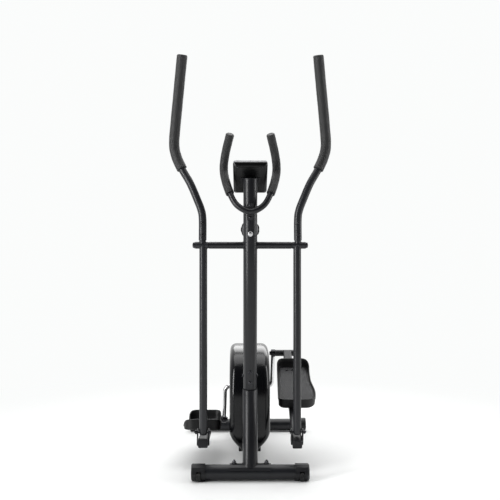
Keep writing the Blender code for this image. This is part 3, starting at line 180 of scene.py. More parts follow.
def effect(name, inputs, outputs):
    """An empty shader node group with named inputs (name, start value) and outputs (name, kind)."""
    group = bpy.data.node_groups.new(name, "ShaderNodeTree")
    for label, value in inputs:
        socket = group.interface.new_socket(label, in_out="INPUT", socket_type="NodeSocketFloat")
        socket.default_value = value
    for label, kind in outputs:
        group.interface.new_socket(label, in_out="OUTPUT", socket_type=kind)
    start = wire(group, "NodeGroupInput", -1200, 0)
    end = wire(group, "NodeGroupOutput", 600, 0)
    return group, start, end


FLOAT = "NodeSocketFloat"

# Powder coat: the slow orange peel of baked powder, with tiny brighter flecks in it.
powder_coat, start, end = effect(
    "powder_coat", (("Peel Scale", 380.0), ("Fleck Scale", 2600.0), ("Fleck Amount", 0.35)),
    (("Height", FLOAT), ("Tone", FLOAT), ("Gloss", FLOAT)))
place = wire(powder_coat, "ShaderNodeTexCoord", -1200, -300)
peel = wire(powder_coat, "ShaderNodeTexNoise", -900, 200, Detail=2.0, Roughness=0.55)
fleck = wire(powder_coat, "ShaderNodeTexVoronoi", -900, -100)
drift = wire(powder_coat, "ShaderNodeTexNoise", -900, -400, Scale=9.0, Detail=4.0, Roughness=0.6)
spark = wire(powder_coat, "ShaderNodeMapRange", -600, -100, From_Min=0.02, From_Max=0.28,
             To_Min=1.0, To_Max=0.0)
weigh = wire(powder_coat, "ShaderNodeMath", -350, -100, operation="MULTIPLY")
tone = wire(powder_coat, "ShaderNodeMath", -100, -200, operation="ADD")
gloss = wire(powder_coat, "ShaderNodeMapRange", -100, -400, To_Min=-0.05, To_Max=0.07)
lift = wire(powder_coat, "ShaderNodeMath", -100, 200, operation="MULTIPLY_ADD")
lift.inputs[1].default_value = 0.2
join(powder_coat, (place, "Object", peel, "Vector"), (place, "Object", fleck, "Vector"),
                  (place, "Object", drift, "Vector"), (start, "Peel Scale", peel, "Scale"),
                  (start, "Fleck Scale", fleck, "Scale"), (fleck, "Distance", spark, "Value"),
                  (spark, "Result", weigh, 0), (start, "Fleck Amount", weigh, 1),
                  (weigh, 0, tone, 0), (drift, "Fac", tone, 1), (drift, "Fac", gloss, "Value"),
                  (spark, "Result", lift, 0), (peel, "Fac", lift, 2), (lift, 0, end, "Height"),
                  (tone, 0, end, "Tone"), (gloss, "Result", end, "Gloss"))

# Settled dust: thin, patchy and only on faces that look up.
settled_dust, start, end = effect(
    "settled_dust", (("Amount", 0.5), ("Patch Scale", 14.0)), (("Mask", FLOAT),))
place = wire(settled_dust, "ShaderNodeNewGeometry", -1200, -300)
split = wire(settled_dust, "ShaderNodeSeparateXYZ", -900, -300)
upward = wire(settled_dust, "ShaderNodeMapRange", -650, -300, From_Min=0.35, From_Max=1.0)
where = wire(settled_dust, "ShaderNodeTexCoord", -1200, -600)
patch = wire(settled_dust, "ShaderNodeTexNoise", -900, -600, Detail=6.0, Roughness=0.7)
patchy = wire(settled_dust, "ShaderNodeMapRange", -650, -600, From_Min=0.35, From_Max=0.75)
both = wire(settled_dust, "ShaderNodeMath", -400, -400, operation="MULTIPLY")
scaled = wire(settled_dust, "ShaderNodeMath", -150, -400, operation="MULTIPLY")
join(settled_dust, (place, "Normal", split, 0), (split, "Z", upward, "Value"),
                   (where, "Object", patch, "Vector"), (start, "Patch Scale", patch, "Scale"),
                   (patch, "Fac", patchy, "Value"), (upward, "Result", both, 0),
                   (patchy, "Result", both, 1), (both, 0, scaled, 0), (start, "Amount", scaled, 1),
                   (scaled, 0, end, "Mask"))


def finish_base(name, roughness, metallic=0.0, specular=0.5):
    """A material with its tree and its Principled shader."""
    material = bpy.data.materials.new(name)
    material.use_nodes = True
    tree = material.node_tree
    shader = tree.nodes["Principled BSDF"]
    shader.location = (700, 0)
    shader.inputs["Roughness"].default_value = roughness
    shader.inputs["Metallic"].default_value = metallic
    shader.inputs["Specular IOR Level"].default_value = specular
    return material, tree, shader


def placed(tree, group, x, y, **values):
    """A node group placed in a material with its own values."""
    made = tree.nodes.new("ShaderNodeGroup")
    made.node_tree = group
    made.location = (x, y)
    for name, value in values.items():
        made.inputs[name.replace("_", " ")].default_value = value
    return made


def coloured(tree, low, high, factor, x, y):
    """A mix of two colours by a value."""
    mix = wire(tree, "ShaderNodeMix", x, y, data_type="RGBA")
    mix.inputs[6].default_value = (*low, 1.0)
    mix.inputs[7].default_value = (*high, 1.0)
    tree.links.new(factor, mix.inputs["Factor"])
    return mix.outputs[2]


def dusted(tree, colour, amount, x, y, tint=(0.16, 0.155, 0.145)):
    """A colour with settled dust over it."""
    dust = placed(tree, settled_dust, x - 250, y - 200, Amount=amount)
    mix = wire(tree, "ShaderNodeMix", x, y, data_type="RGBA")
    mix.inputs[7].default_value = (*tint, 1.0)
    tree.links.new(dust.outputs["Mask"], mix.inputs["Factor"])
    tree.links.new(colour, mix.inputs[6])
    return mix.outputs[2]


def rough_by(tree, shader, value, low, high):
    """A roughness that follows a value between two limits."""
    rough = wire(tree, "ShaderNodeMapRange", 200, -200, To_Min=low, To_Max=high)
    tree.links.new(value, rough.inputs["Value"])
    tree.links.new(rough.outputs["Result"], shader.inputs["Roughness"])


def bumped(tree, shader, height, strength, distance):
    """Feed a height through a bump to the shader's normal."""
    bump = wire(tree, "ShaderNodeBump", 450, -300, Strength=strength, Distance=distance)
    tree.links.new(height, bump.inputs["Height"])
    tree.links.new(bump.outputs["Normal"], shader.inputs["Normal"])


def powder_paint(name, colour, roughness=0.40, dust=0.05):
    """Baked powder paint on steel."""
    material, tree, shader = finish_base(name, roughness, 0.0, 0.42)
    coat = placed(tree, powder_coat, -300, 0)
    light = tuple(min(1.0, part * 1.9 + 0.001) for part in colour)
    colour_out = coloured(tree, colour, light, coat.outputs["Tone"], 0, 100)
    tree.links.new(dusted(tree, colour_out, dust, 300, 100), shader.inputs["Base Color"])
    rough = wire(tree, "ShaderNodeMath", 200, -200, operation="ADD")
    rough.inputs[1].default_value = roughness
    tree.links.new(coat.outputs["Gloss"], rough.inputs[0])
    tree.links.new(rough.outputs[0], shader.inputs["Roughness"])
    bumped(tree, shader, coat.outputs["Height"], 0.22, 0.0004)
    return material


def mesh_piece(name, build, sharp=35.0):
    """An object from a bmesh, faces outwards, smooth except at sharp edges."""
    bmesh.ops.recalc_face_normals(build, faces=build.faces)
    data = bpy.data.meshes.new(name)
    build.to_mesh(data)
    build.free()
    data.shade_smooth()
    data.set_sharp_from_angle(angle=math.radians(sharp))
    made = bpy.data.objects.new(name, data)
    scene.collection.objects.link(made)
    return made


def ring_skin(name, rings, ends=True, loop=False, sharp=35.0, build=None):
    """A surface through rings of points, each ring a closed line."""
    own = build is None
    build = bmesh.new() if own else build
    lines = [[build.verts.new(point) for point in ring] for ring in rings]
    pairs = list(zip(lines, lines[1:]))
    if loop:
        pairs.append((lines[-1], lines[0]))
    elif ends:
        build.faces.new(lines[0])
        build.faces.new(lines[-1])
    for first, second in pairs:
        count = len(first)
        for i in range(count):
            j = (i + 1) % count
            build.faces.new((first[i], first[j], second[j], second[i]))
    return mesh_piece(name, build, sharp) if own else build


def square_to(along):
    """Two unit vectors square to a direction."""
    helper = Vector((1, 0, 0)) if abs(along.x) < 0.9 else Vector((0, 0, 1))
    across = along.cross(helper).normalized()
    return across, along.cross(across).normalized()


def circle(centre, across, up, radius, count=ROUND):
    """Points of a circle."""
    return [centre + across * (radius * math.cos(math.tau * i / count))
            + up * (radius * math.sin(math.tau * i / count)) for i in range(count)]


def lathe_rings(base, along, profile, count=ROUND):
    """Rings of a turned form: profile holds (distance along the axis, radius)."""
    base, along = Vector(base), Vector(along).normalized()
    across, up = square_to(along)
    return [circle(base + along * distance, across, up, max(radius, 0.00005), count)
            for distance, radius in profile]


def lathe(name, base, along, profile, count=ROUND, loop=False, build=None, sharp=35.0):
    """A turned piece."""
    return ring_skin(name, lathe_rings(base, along, profile, count), True, loop, sharp, build)


def dress(made, body, slot, material, *stands_for):
    """Give a piece its material and body, and hide the CAD nodes it stands for. slot is not used."""
    made.data.materials.clear()
    made.data.materials.append(material)
    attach(made, body)
    if stands_for:
        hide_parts(*stands_for)
    return made


def paint_nodes(material, *names):
    """Give CAD pieces that keep their own shape a finished material."""
    for name in names:
        item = nodes[name]
        item.data.materials.clear()
        item.data.materials.append(material)


stabiliser_paint = powder_paint("stabiliser_paint", STAB_COLOUR, 0.38, 0.05)
OUT = Vector((1, 0, 0))
for end_name, y in (("front", FRONT_Y), ("rear", REAR_Y)):
    low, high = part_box(end_name + "_stabiliser")
    length = high.x - low.x
    edge = 0.0008
    tube_profile = [(0.0, 0.0255), (0.0, STAB_R - edge), (edge, STAB_R), (length - edge, STAB_R),
                    (length, STAB_R - edge), (length, 0.0255)]
    tube = lathe(end_name + "_cross_tube", (low.x, y, STAB_Z), OUT, tube_profile, ROUND, True)
    dress(tube, "base", "black_paint", stabiliser_paint, end_name + "_stabiliser")


# ------------------------------------------------------------------ stabiliser end caps and wheels
# The caps are injection moulded in black plastic with a fine spark-eroded grain. The front
# pair carry a small hard wheel each, for tipping the machine up and rolling it away.
CAP_R = 0.0315
CAP_COLOUR = (0.0045, 0.0047, 0.0058)
CAP_END = 0.2715

# Moulded grain: a pebbled skin of two sizes, with the faint cloudiness of flow marks.
moulded_grain, start, end = effect(
    "moulded_grain", (("Pebble Scale", 900.0), ("Flow Scale", 24.0)),
    (("Height", FLOAT), ("Tone", FLOAT)))
place = wire(moulded_grain, "ShaderNodeTexCoord", -1200, -300)
pebble = wire(moulded_grain, "ShaderNodeTexVoronoi", -900, 200, feature="SMOOTH_F1")
grit = wire(moulded_grain, "ShaderNodeTexNoise", -900, -100, Scale=2400.0, Detail=2.0)
flow = wire(moulded_grain, "ShaderNodeTexNoise", -900, -400, Detail=5.0, Roughness=0.6, Distortion=0.8)
lift = wire(moulded_grain, "ShaderNodeMath", -500, 100, operation="MULTIPLY_ADD")
lift.inputs[1].default_value = 0.3
join(moulded_grain, (place, "Object", pebble, "Vector"), (place, "Object", grit, "Vector"),
                    (place, "Object", flow, "Vector"), (start, "Pebble Scale", pebble, "Scale"),
                    (start, "Flow Scale", flow, "Scale"), (grit, "Fac", lift, 0),
                    (pebble, "Distance", lift, 2), (lift, 0, end, "Height"),
                    (flow, "Fac", end, "Tone"))


def moulded_plastic(name, colour, roughness=0.48, pebble_scale=900.0, grain=0.35, dust=0.08, spread=0.5):
    """Grained moulded plastic."""
    material, tree, shader = finish_base(name, roughness, 0.0, 0.34)
    skin_marks = placed(tree, moulded_grain, -300, 0, Pebble_Scale=pebble_scale)
    light = tuple(min(1.0, part * (1 + spread)) for part in colour)
    tone_out = coloured(tree, colour, light, skin_marks.outputs["Tone"], 0, 100)
    tree.links.new(dusted(tree, tone_out, dust, 300, 100), shader.inputs["Base Color"])
    rough_by(tree, shader, skin_marks.outputs["Tone"], roughness - 0.06, roughness + 0.10)
    bumped(tree, shader, skin_marks.outputs["Height"], grain, 0.0003)
    return material


cap_plastic = moulded_plastic("cap_plastic", CAP_COLOUR, 0.42)
wheel_plastic = moulded_plastic("wheel_plastic", (0.0060, 0.0060, 0.0062), 0.55, 1400.0, 0.5, 0.3)
paint_nodes(cap_plastic, "front_cap_left", "front_cap_right")


def flat_foot(rings, floor=0.0):
    """Rings pressed flat where they would go under the floor."""
    return [[Vector((point.x, point.y, max(point.z, floor))) for point in ring] for ring in rings]


for side_name, side in (("left", 1), ("right", -1)):
    cap_profile = [(0.2228, STAB_R + 0.0003), (0.2225, CAP_R - 0.0010), (0.2235, CAP_R), (0.2300, CAP_R),
                   (0.2306, CAP_R - 0.0007), (0.2318, CAP_R - 0.0007), (0.2324, CAP_R), (0.2660, CAP_R),
                   (0.2688, CAP_R - 0.0008), (0.2707, CAP_R - 0.0030), (CAP_END, CAP_R - 0.0070),
                   (CAP_END, 0.0130), (CAP_END - 0.0007, 0.0120), (CAP_END - 0.0007, 0.0001)]
    cap_rings = lathe_rings((0, REAR_Y, STAB_Z), OUT * side, cap_profile)
    rear_cap = ring_skin("rear_end_cap_" + side_name, flat_foot(cap_rings))
    dress(rear_cap, "base", "black_plastic", cap_plastic, "rear_cap_" + side_name)

    low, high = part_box("transport_wheel_" + side_name)
    middle = (low + high) / 2
    half, rim = (high.x - low.x) / 2, (high.z - low.z) / 2
    inset = half - 0.0012
    near_side = [(-half, 0.0029), (-half, 0.0062), (-inset, 0.0070), (-inset, rim - 0.0045),
                 (-half, rim - 0.0036), (-half, rim - 0.0012), (-inset, rim),
                 (-0.0010, rim), (-0.0005, rim - 0.0005)]
    wheel_profile = near_side + [(-reach, radius) for reach, radius in near_side[::-1]]
    wheel = lathe("roller_" + side_name, middle, OUT, wheel_profile, ROUND, True)
    dress(wheel, "roller_" + side_name, "black_plastic", wheel_plastic, "transport_wheel_" + side_name)


# ------------------------------------------------------------------ frame, post and their fasteners
# Round steel tube, welded and then painted in one satin black. The upper post stands on a
# spigot of the main frame and is held by two bolts in front and one on each side.
PAINT_COLOUR = (0.0044, 0.0047, 0.0060)
POST_LEAN = 0.133
POST_UP = Vector((0, -POST_LEAN, 1)).normalized()
POST_BACK = Vector((0, 1, POST_LEAN)).normalized()
NECK_FOOT = Vector((0, FRONT_Y, 0.045))
NECK_TOP = Vector((0, FRONT_Y + 0.075, 0.3215))
POST_R = 0.0254
POST_TOP_Z = 1.0955
PIVOT = Vector((0, FRONT_Y + 0.003, 0.8555))
CROSS_TUBE_R = 0.0127
CROSS_TUBE_LENGTH = 0.300
POST_BOLTS = (("upper", 0.3895), ("lower", 0.3495))
SIDE_BOLT_Z = 0.3715
WELD_SIDES = 8
WASHER = 0.0010


def post_axis(z):
    """The point of the post's centre line at a height."""
    return Vector((0, NECK_TOP.y - POST_LEAN * (z - NECK_TOP.z), z))


# Worked steel: fine turned or drawn lines, with a slow change in how bright they are.
worked_steel, start, end = effect(
    "worked_steel", (("Line Scale", 900.0), ("Stain Scale", 60.0)),
    (("Height", FLOAT), ("Tone", FLOAT)))
place = wire(worked_steel, "ShaderNodeTexCoord", -1200, -300)
stretch = wire(worked_steel, "ShaderNodeMapping", -1000, 100)
stretch.inputs["Scale"].default_value = (1.0, 0.06, 0.06)
lines = wire(worked_steel, "ShaderNodeTexNoise", -700, 100, Detail=3.0)
stain = wire(worked_steel, "ShaderNodeTexNoise", -700, -300, Detail=6.0, Roughness=0.65)
join(worked_steel, (place, "Object", stretch, "Vector"), (stretch, "Vector", lines, "Vector"),
                   (place, "Object", stain, "Vector"), (start, "Line Scale", lines, "Scale"),
                   (start, "Stain Scale", stain, "Scale"), (lines, "Fac", end, "Height"),
                   (stain, "Fac", end, "Tone"))


def bare_steel(name, dark, light, low_rough, high_rough, lines_strength=0.06):
    """Plated, blacked or bare metal."""
    material, tree, shader = finish_base(name, low_rough, 1.0)
    work = placed(tree, worked_steel, -300, 0)
    tone_out = coloured(tree, dark, light, work.outputs["Tone"], 0, 100)
    tree.links.new(tone_out, shader.inputs["Base Color"])
    rough_by(tree, shader, work.outputs["Tone"], low_rough, high_rough)
    bumped(tree, shader, work.outputs["Height"], lines_strength, 0.0002)
    return material


frame_paint = powder_paint("frame_paint", PAINT_COLOUR, 0.34, 0.05)
black_oxide = bare_steel("black_oxide", (0.022, 0.022, 0.025), (0.070, 0.070, 0.075), 0.16, 0.34)
bright_plate = bare_steel("bright_plate", (0.50, 0.50, 0.51), (0.72, 0.72, 0.73), 0.10, 0.26)
paint_nodes(frame_paint, "main_frame", "upper_post", "pedal_tube_left", "pedal_tube_right")
paint_nodes(black_oxide, "front_stud_plate", "rear_stud_plate", "joint_bolt_left", "joint_bolt_right",
            "flywheel_axle", "flywheel_pulley", "idler_arm", "brake_bracket", "crank_bearing",
            "crank_nut_left", "crank_nut_right", "pivot_axle", "pivot_nut_left", "pivot_nut_right")
paint_nodes(bright_plate, "brake_magnet")

neck_up = (NECK_TOP - NECK_FOOT).normalized()
neck_ring = circle(NECK_FOOT, *square_to(neck_up), STAB_R + 0.00015)
mitre_ring = [point + neck_up * ((NECK_TOP - point).dot(POST_UP) / neck_up.dot(POST_UP))
              for point in neck_ring]
foot_ring = [point + neck_up * 0.012 for point in neck_ring]
lip_ring = [point - neck_up * 0.0006 for point in mitre_ring]
rim_ring = [NECK_TOP + (point - NECK_TOP) * 0.985 for point in mitre_ring]
neck = ring_skin("neck_tube", [foot_ring, lip_ring, rim_ring])
dress(neck, "base", "black_paint", frame_paint)

post_top = post_axis(POST_TOP_Z)
post_foot = NECK_TOP + POST_UP * 0.0006
post_length = (post_top - post_foot).length
post_profile = [(0.0, POST_R - 0.0010), (0.0006, POST_R - 0.0002), (0.0012, POST_R + 0.0001),
                (post_length - 0.0030, POST_R + 0.0001), (post_length - 0.0008, POST_R - 0.0010),
                (post_length + 0.0002, POST_R - 0.0035), (post_length + 0.0003, 0.0001)]
post_skin = lathe("post_tube", post_foot, POST_UP, post_profile)
dress(post_skin, "base", "black_paint", frame_paint)

cross_skin = lathe("cross_tube", PIVOT - OUT * (CROSS_TUBE_LENGTH / 2), OUT, [
    (0.0, 0.0088), (0.0, CROSS_TUBE_R - 0.0006), (0.0006, CROSS_TUBE_R + 0.0001),
    (CROSS_TUBE_LENGTH - 0.0006, CROSS_TUBE_R + 0.0001), (CROSS_TUBE_LENGTH, CROSS_TUBE_R - 0.0006),
    (CROSS_TUBE_LENGTH, 0.0088)], ROUND, True)
dress(cross_skin, "base", "black_paint", frame_paint)


def weld_bead(name, points, outward, radius, body="base", material=None):
    """A rippled weld bead along a closed line of points, each with its outward direction."""
    rings = []
    for i, point in enumerate(points):
        along = (points[(i + 1) % len(points)] - points[i - 1]).normalized()
        out = (outward[i] - along * outward[i].dot(along)).normalized()
        swell = radius * (1.0 + 0.22 * math.sin(i * math.tau / 5.0))
        rings.append(circle(point, out, along.cross(out), swell, WELD_SIDES))
    bead = ring_skin(name, rings, False, True, 80)
    return dress(bead, body, "black_paint", material or frame_paint)


def saddle_joint(through, along_a, radius_a, along_b, radius_b, sign, count=60):
    """Where a tube of radius_b along b runs out of a bigger tube of radius_a along a."""
    across, up = square_to(along_b)
    points, normals = [], []
    for i in range(count):
        turn = math.tau * i / count
        off = across * (radius_b * math.cos(turn)) + up * (radius_b * math.sin(turn))
        flat = off - along_a * off.dot(along_a)
        reach_dir = (along_b - along_a * along_b.dot(along_a))
        b = flat.dot(reach_dir)
        a = reach_dir.length_squared
        c = flat.length_squared - radius_a ** 2
        root = math.sqrt(max(0.0, b * b - a * c))
        t = (-b + sign * root) / a
        point = through + off + along_b * t
        points.append(point)
        normals.append(off.normalized() + along_b * (0.7 * sign))
    return points, normals


for bead_name, sign in (("left", 1), ("right", -1)):
    crossing = post_axis(PIVOT.z)
    line, outward = saddle_joint(crossing, POST_UP, POST_R, OUT, CROSS_TUBE_R, sign)
    line = [point + Vector((0, PIVOT.y - crossing.y, 0)) for point in line]
    weld_bead("cross_weld_" + bead_name, line, outward, 0.0016)
line, outward = saddle_joint(Vector((0, FRONT_Y, STAB_Z)), OUT, STAB_R + 0.0043, neck_up, STAB_R, 1)
weld_bead("neck_weld", line, outward, 0.0022)


def button_head(name, place, outward, radius, height, body, material, slot_name, socket_r=0.0):
    """A domed bolt head with a hexagon socket, on a thin washer."""
    outward = Vector(outward).normalized()
    profile = [(0.0, radius * 1.25), (WASHER, radius * 1.25), (WASHER, radius),
               (WASHER + height * 0.25, radius)]
    for step in range(1, 7):
        turn = math.radians(15 * step)
        profile.append((WASHER + height * (0.25 + 0.75 * math.sin(turn)),
                        radius * (0.25 + 0.75 * math.cos(turn))))
    build = lathe(None, place, outward, profile, 24, False, bmesh.new())
    if socket_r:
        across, up = square_to(outward)
        top = Vector(place) + outward * (WASHER + height)
        rings = [circle(top + outward * 0.0002, across, up, socket_r * 1.15, 6),
                 circle(top + outward * 0.0002, across, up, socket_r, 6),
                 circle(top - outward * 0.0006, across, up, socket_r * 0.9, 6)]
        ring_skin(None, rings, True, False, 35, build)
    head = mesh_piece(name, build, 30)
    return dress(head, body, slot_name, material)


for place_name, z in POST_BOLTS:
    spot = post_axis(z) - POST_BACK * (POST_R + 0.0002)
    bolt = button_head("post_bolt_head_" + place_name, spot, -POST_BACK,
                       0.0066, 0.0040, "base", black_oxide, "dark_steel", 0.0028)
    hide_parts("post_bolt_" + place_name)
for side_name, side in (("left", 1), ("right", -1)):
    spot = post_axis(SIDE_BOLT_Z) + OUT * (side * (POST_R - 0.0001))
    button_head("post_side_bolt_" + side_name, spot, OUT * side,
                0.0058, 0.0036, "base", black_oxide, "dark_steel", 0.0025)


# ------------------------------------------------------------------ fixed handlebar and its grips
# A thin U bar is bolted to the front of the post. Its two arms carry closed-cell foam
# sleeves, pushed on with a little soapy water and closed at the tip.
BAR_R = 0.0111
BAR_FOAM_R = 0.0158
TIP_ROUND = 0.0048           # how far a foam tip narrows before its flat end
BAR_Z = 0.9795
BAR_SEAT_LOW = 0.9475
BAR_SEAT_HIGH = 1.0085
BAR_BOLTS = (("upper", 0.9995), ("lower", 0.9570))
BAR_POINTS = ((0.026, 0.001, 0.9820), (0.053, 0.010, 1.0035), (0.073, 0.027, 1.0405),
              (0.088, 0.055, 1.0845), (0.0970, 0.080, 1.1325), (0.0915, 0.078, 1.1895),
              (0.0745, 0.043, 1.2525))
BAR_STEPS = 12
bar_middle = post_axis(BAR_Z) - POST_BACK * (POST_R + 0.0003 + 0.0030 + BAR_R - 0.0012)


def curve_point(p0, p1, p2, p3, t):
    """A point between p1 and p2 on the smooth curve through four points."""
    return 0.5 * (2 * p1 + (p2 - p0) * t + (2 * p0 - 5 * p1 + 4 * p2 - p3) * t ** 2
                  + (3 * p1 - p0 - 3 * p2 + p3) * t ** 3)


def smooth_path(points, steps):
    """A smooth curve through given points."""
    padded_points = [points[0] * 2 - points[1]] + points + [points[-1] * 2 - points[-2]]
    path = []
    for i in range(1, len(padded_points) - 2):
        path += [curve_point(*padded_points[i - 1:i + 3], k / steps) for k in range(steps)]
    path.append(points[-1])
    return path


def path_frames(path):
    """(point, direction, across, up) along a path, without twist."""
    frames = []
    across = None
    for i, point in enumerate(path):
        ahead = (path[min(i + 1, len(path) - 1)] - path[max(i - 1, 0)]).normalized()
        if across is None:
            across, _ = square_to(ahead)
        across = (across - ahead * across.dot(ahead)).normalized()
        frames.append((point, ahead, across, ahead.cross(across)))
    return frames


def swept(name, path, radius, count=ROUND, open_end=0.0):
    """A round tube along a path; open_end gives it a hollow end of that wall."""
    frames = path_frames(path)
    rings = [circle(point, across, up, radius, count) for point, _, across, up in frames]
    if open_end:
        point, ahead, across, up = frames[-1]
        for inward, drop in ((open_end * 0.3, -0.0003), (open_end, 0.0), (open_end, 0.004)):
            rings.append(circle(point - ahead * drop, across, up, radius - inward, count))
    return ring_skin(name, rings, True, False, 40)


# Foam: closed cells cut open at the skin, with a slow dapple from years of hands.
foam_cells, start, end = effect(
    "foam_cells", (("Cell Scale", 1500.0), ("Dapple Scale", 34.0)),
    (("Height", FLOAT), ("Tone", FLOAT)))
place = wire(foam_cells, "ShaderNodeTexCoord", -1200, -300)
cell = wire(foam_cells, "ShaderNodeTexVoronoi", -900, 200, feature="F1")
pore = wire(foam_cells, "ShaderNodeTexNoise", -900, -100, Scale=3200.0, Detail=3.0, Roughness=0.7)
dapple = wire(foam_cells, "ShaderNodeTexNoise", -900, -400, Detail=7.0, Roughness=0.68)
deep = wire(foam_cells, "ShaderNodeMath", -600, 0, operation="MULTIPLY_ADD")
deep.inputs[1].default_value = 0.6
shade = wire(foam_cells, "ShaderNodeMath", -300, -200, operation="MULTIPLY_ADD")
shade.inputs[1].default_value = 0.45
join(foam_cells, (place, "Object", cell, "Vector"), (place, "Object", pore, "Vector"),
                 (place, "Object", dapple, "Vector"), (start, "Cell Scale", cell, "Scale"),
                 (start, "Dapple Scale", dapple, "Scale"), (pore, "Fac", deep, 0),
                 (cell, "Distance", deep, 2), (deep, 0, shade, 0), (dapple, "Fac", shade, 2),
                 (deep, 0, end, "Height"), (shade, 0, end, "Tone"))


def foam_finish(name, low, high, dust):
    """Closed-cell foam rubber."""
    material, tree, shader = finish_base(name, 0.46, 0.0, 0.40)
    shader.inputs["Sheen Weight"].default_value = 0.03
    shader.inputs["Sheen Roughness"].default_value = 0.55
    cells = placed(tree, foam_cells, -300, 0)
    tone_out = coloured(tree, low, high, cells.outputs["Tone"], 0, 100)
    tree.links.new(dusted(tree, tone_out, dust, 300, 100), shader.inputs["Base Color"])
    bumped(tree, shader, cells.outputs["Height"], 0.55, 0.0006)
    return material


arm_foam = foam_finish("arm_foam", (0.0045, 0.0046, 0.0050), (0.0190, 0.0193, 0.0200), 0.08)
bar_foam = foam_finish("bar_foam", (0.0036, 0.0037, 0.0038), (0.0130, 0.0132, 0.0134), 0.08)


def sleeve(name, path, radius, inner, seed, tip=0.0085, lumps=0.00022):
    """A foam sleeve on a tube: soft rolled mouth, slightly uneven skin, closed domed tip."""
    frames = path_frames(path)
    point, ahead, across, up = frames[0]
    rings = []
    for share, drop in ((0.0, 0.0008), (0.30, -0.0002), (0.62, -0.0006), (0.86, 0.0002), (0.97, 0.0016)):
        rings.append(circle(point + ahead * drop, across, up, inner + (radius - inner) * share))
    for i, (point, ahead, across, up) in enumerate(frames[1:], 1):
        wave = math.sin(i * 0.83 + seed) + 0.6 * math.sin(i * 1.71 + seed * 2.3)
        ring = []
        for k in range(ROUND):
            turn = math.tau * k / ROUND
            swell = lumps * (wave * 0.5 + math.sin(3 * turn + i * 0.37 + seed) * 0.5)
            outward = across * math.cos(turn) + up * math.sin(turn)
            ring.append(point + outward * (radius - lumps + swell))
        rings.append(ring)
    point, ahead, across, up = frames[-1]
    dome = tip - 0.0006
    for step in range(1, 8):
        turn = math.radians(90 * step / 7)
        shrink = TIP_ROUND * (1 - math.cos(turn))
        rings.append(circle(point + ahead * (dome * math.sin(turn)), across, up, radius - shrink))
    for share in (0.45, 0.20, 0.03):
        middle = point + ahead * (dome - 0.0006 * (1 - share))
        rings.append(circle(middle, across, up, (radius - TIP_ROUND) * share))
    return ring_skin(name, rings, True, False, 60)


bar_half = [Vector((x, bar_middle.y + y, z)) for x, y, z in BAR_POINTS]
mirrored_half = [Vector((-point.x, point.y, point.z)) for point in bar_half[::-1]]
bar_path = smooth_path(mirrored_half + [Vector((0, bar_middle.y, bar_middle.z))] + bar_half,
                       BAR_STEPS)
bar_skin = swept("u_bar", bar_path, BAR_R)
seat_build = bmesh.new()
seat_rings = []
for reach in (POST_R - 0.0020, POST_R + 0.0048):
    low_seat, high_seat = post_axis(BAR_SEAT_LOW), post_axis(BAR_SEAT_HIGH)
    corners = ((low_seat, -1), (low_seat, 1), (high_seat, 1), (high_seat, -1))
    seat_rings.append([spot - POST_BACK * reach + OUT * (0.0118 * way) for spot, way in corners])
ring_skin(None, seat_rings, True, False, 35, seat_build)
bmesh.ops.bevel(seat_build, geom=list(seat_build.edges), offset=0.0012, segments=2, affect="EDGES")
seat_piece = mesh_piece("bar_seat", seat_build)
dress(bar_skin, "base", "black_paint", frame_paint, "handlebar")
dress(seat_piece, "base", "black_paint", frame_paint)
for place_name, z in BAR_BOLTS:
    button_head("bar_bolt_" + place_name, post_axis(z) - POST_BACK * (POST_R + 0.0046), -POST_BACK,
                0.0062, 0.0038, "base", black_oxide, "dark_steel", 0.0026)
for side_name, side in (("left", 1), ("right", -1)):
    half = bar_path[len(bar_path) // 2:] if side > 0 else bar_path[len(bar_path) // 2::-1]
    covered = half[int(len(half) * 3 / 7 + 0.5):]
    foam = sleeve("fixed_grip_" + side_name, covered, BAR_FOAM_R, BAR_R, 1.3 * side, 0.0080)
    dress(foam, "base", "grip_foam", bar_foam, "handlebar_grip_" + side_name)


# ------------------------------------------------------------------ swing arms and long grips
# Each arm hangs from a sleeve on the pivot shaft. Its bent upper handle slips over a stub
# and is held by two bolts in front; long foam sleeves cover the top of it.
ARM_X = 0.171
ARM_R = 0.0143
ARM_LENGTH = 0.680
FOAM_R = 0.0195
HUB_START = 0.1525
HUB_LENGTH = 0.0475
HANDLE_X = 0.1735
HANDLE_BOLTS = (("upper", 0.081), ("lower", 0.037))
HANDLE_POINTS = ((HANDLE_X, 0, 0.018), (HANDLE_X, 0, 0.095), (0.1785, 0.001, 0.128),
                 (0.1945, 0.004, 0.170), (0.2190, 0.012, 0.226), (0.2500, 0.024, 0.280),
                 (0.2705, 0.033, 0.325), (0.2800, 0.036, 0.372), (0.2735, 0.025, 0.450),
                 (0.2598, 0.003, 0.570), (0.2467, -0.0207, 0.6800))
HANDLE_STEPS = 10
FOAM_START = 5               # point where the foam begins
joint_at = {joint["name"]: Vector(joint["pos_m"])
            for joint in frame["joints"] if joint.get("pos_m")}
arm_paint = powder_paint("arm_paint", (0.0085, 0.0090, 0.0108), 0.34, 0.05)
paint_nodes(arm_paint, "lower_arm_left", "lower_arm_right")


def arm_space(side_name):
    """Places drawn in an arm's own frame, as they stand at rest."""
    foot = joint_at["pedal_level_" + side_name]
    swing = math.atan2(foot.y - PIVOT.y, PIVOT.z - foot.z)
    return Matrix.Translation(PIVOT) @ Matrix.Rotation(swing, 4, "X")


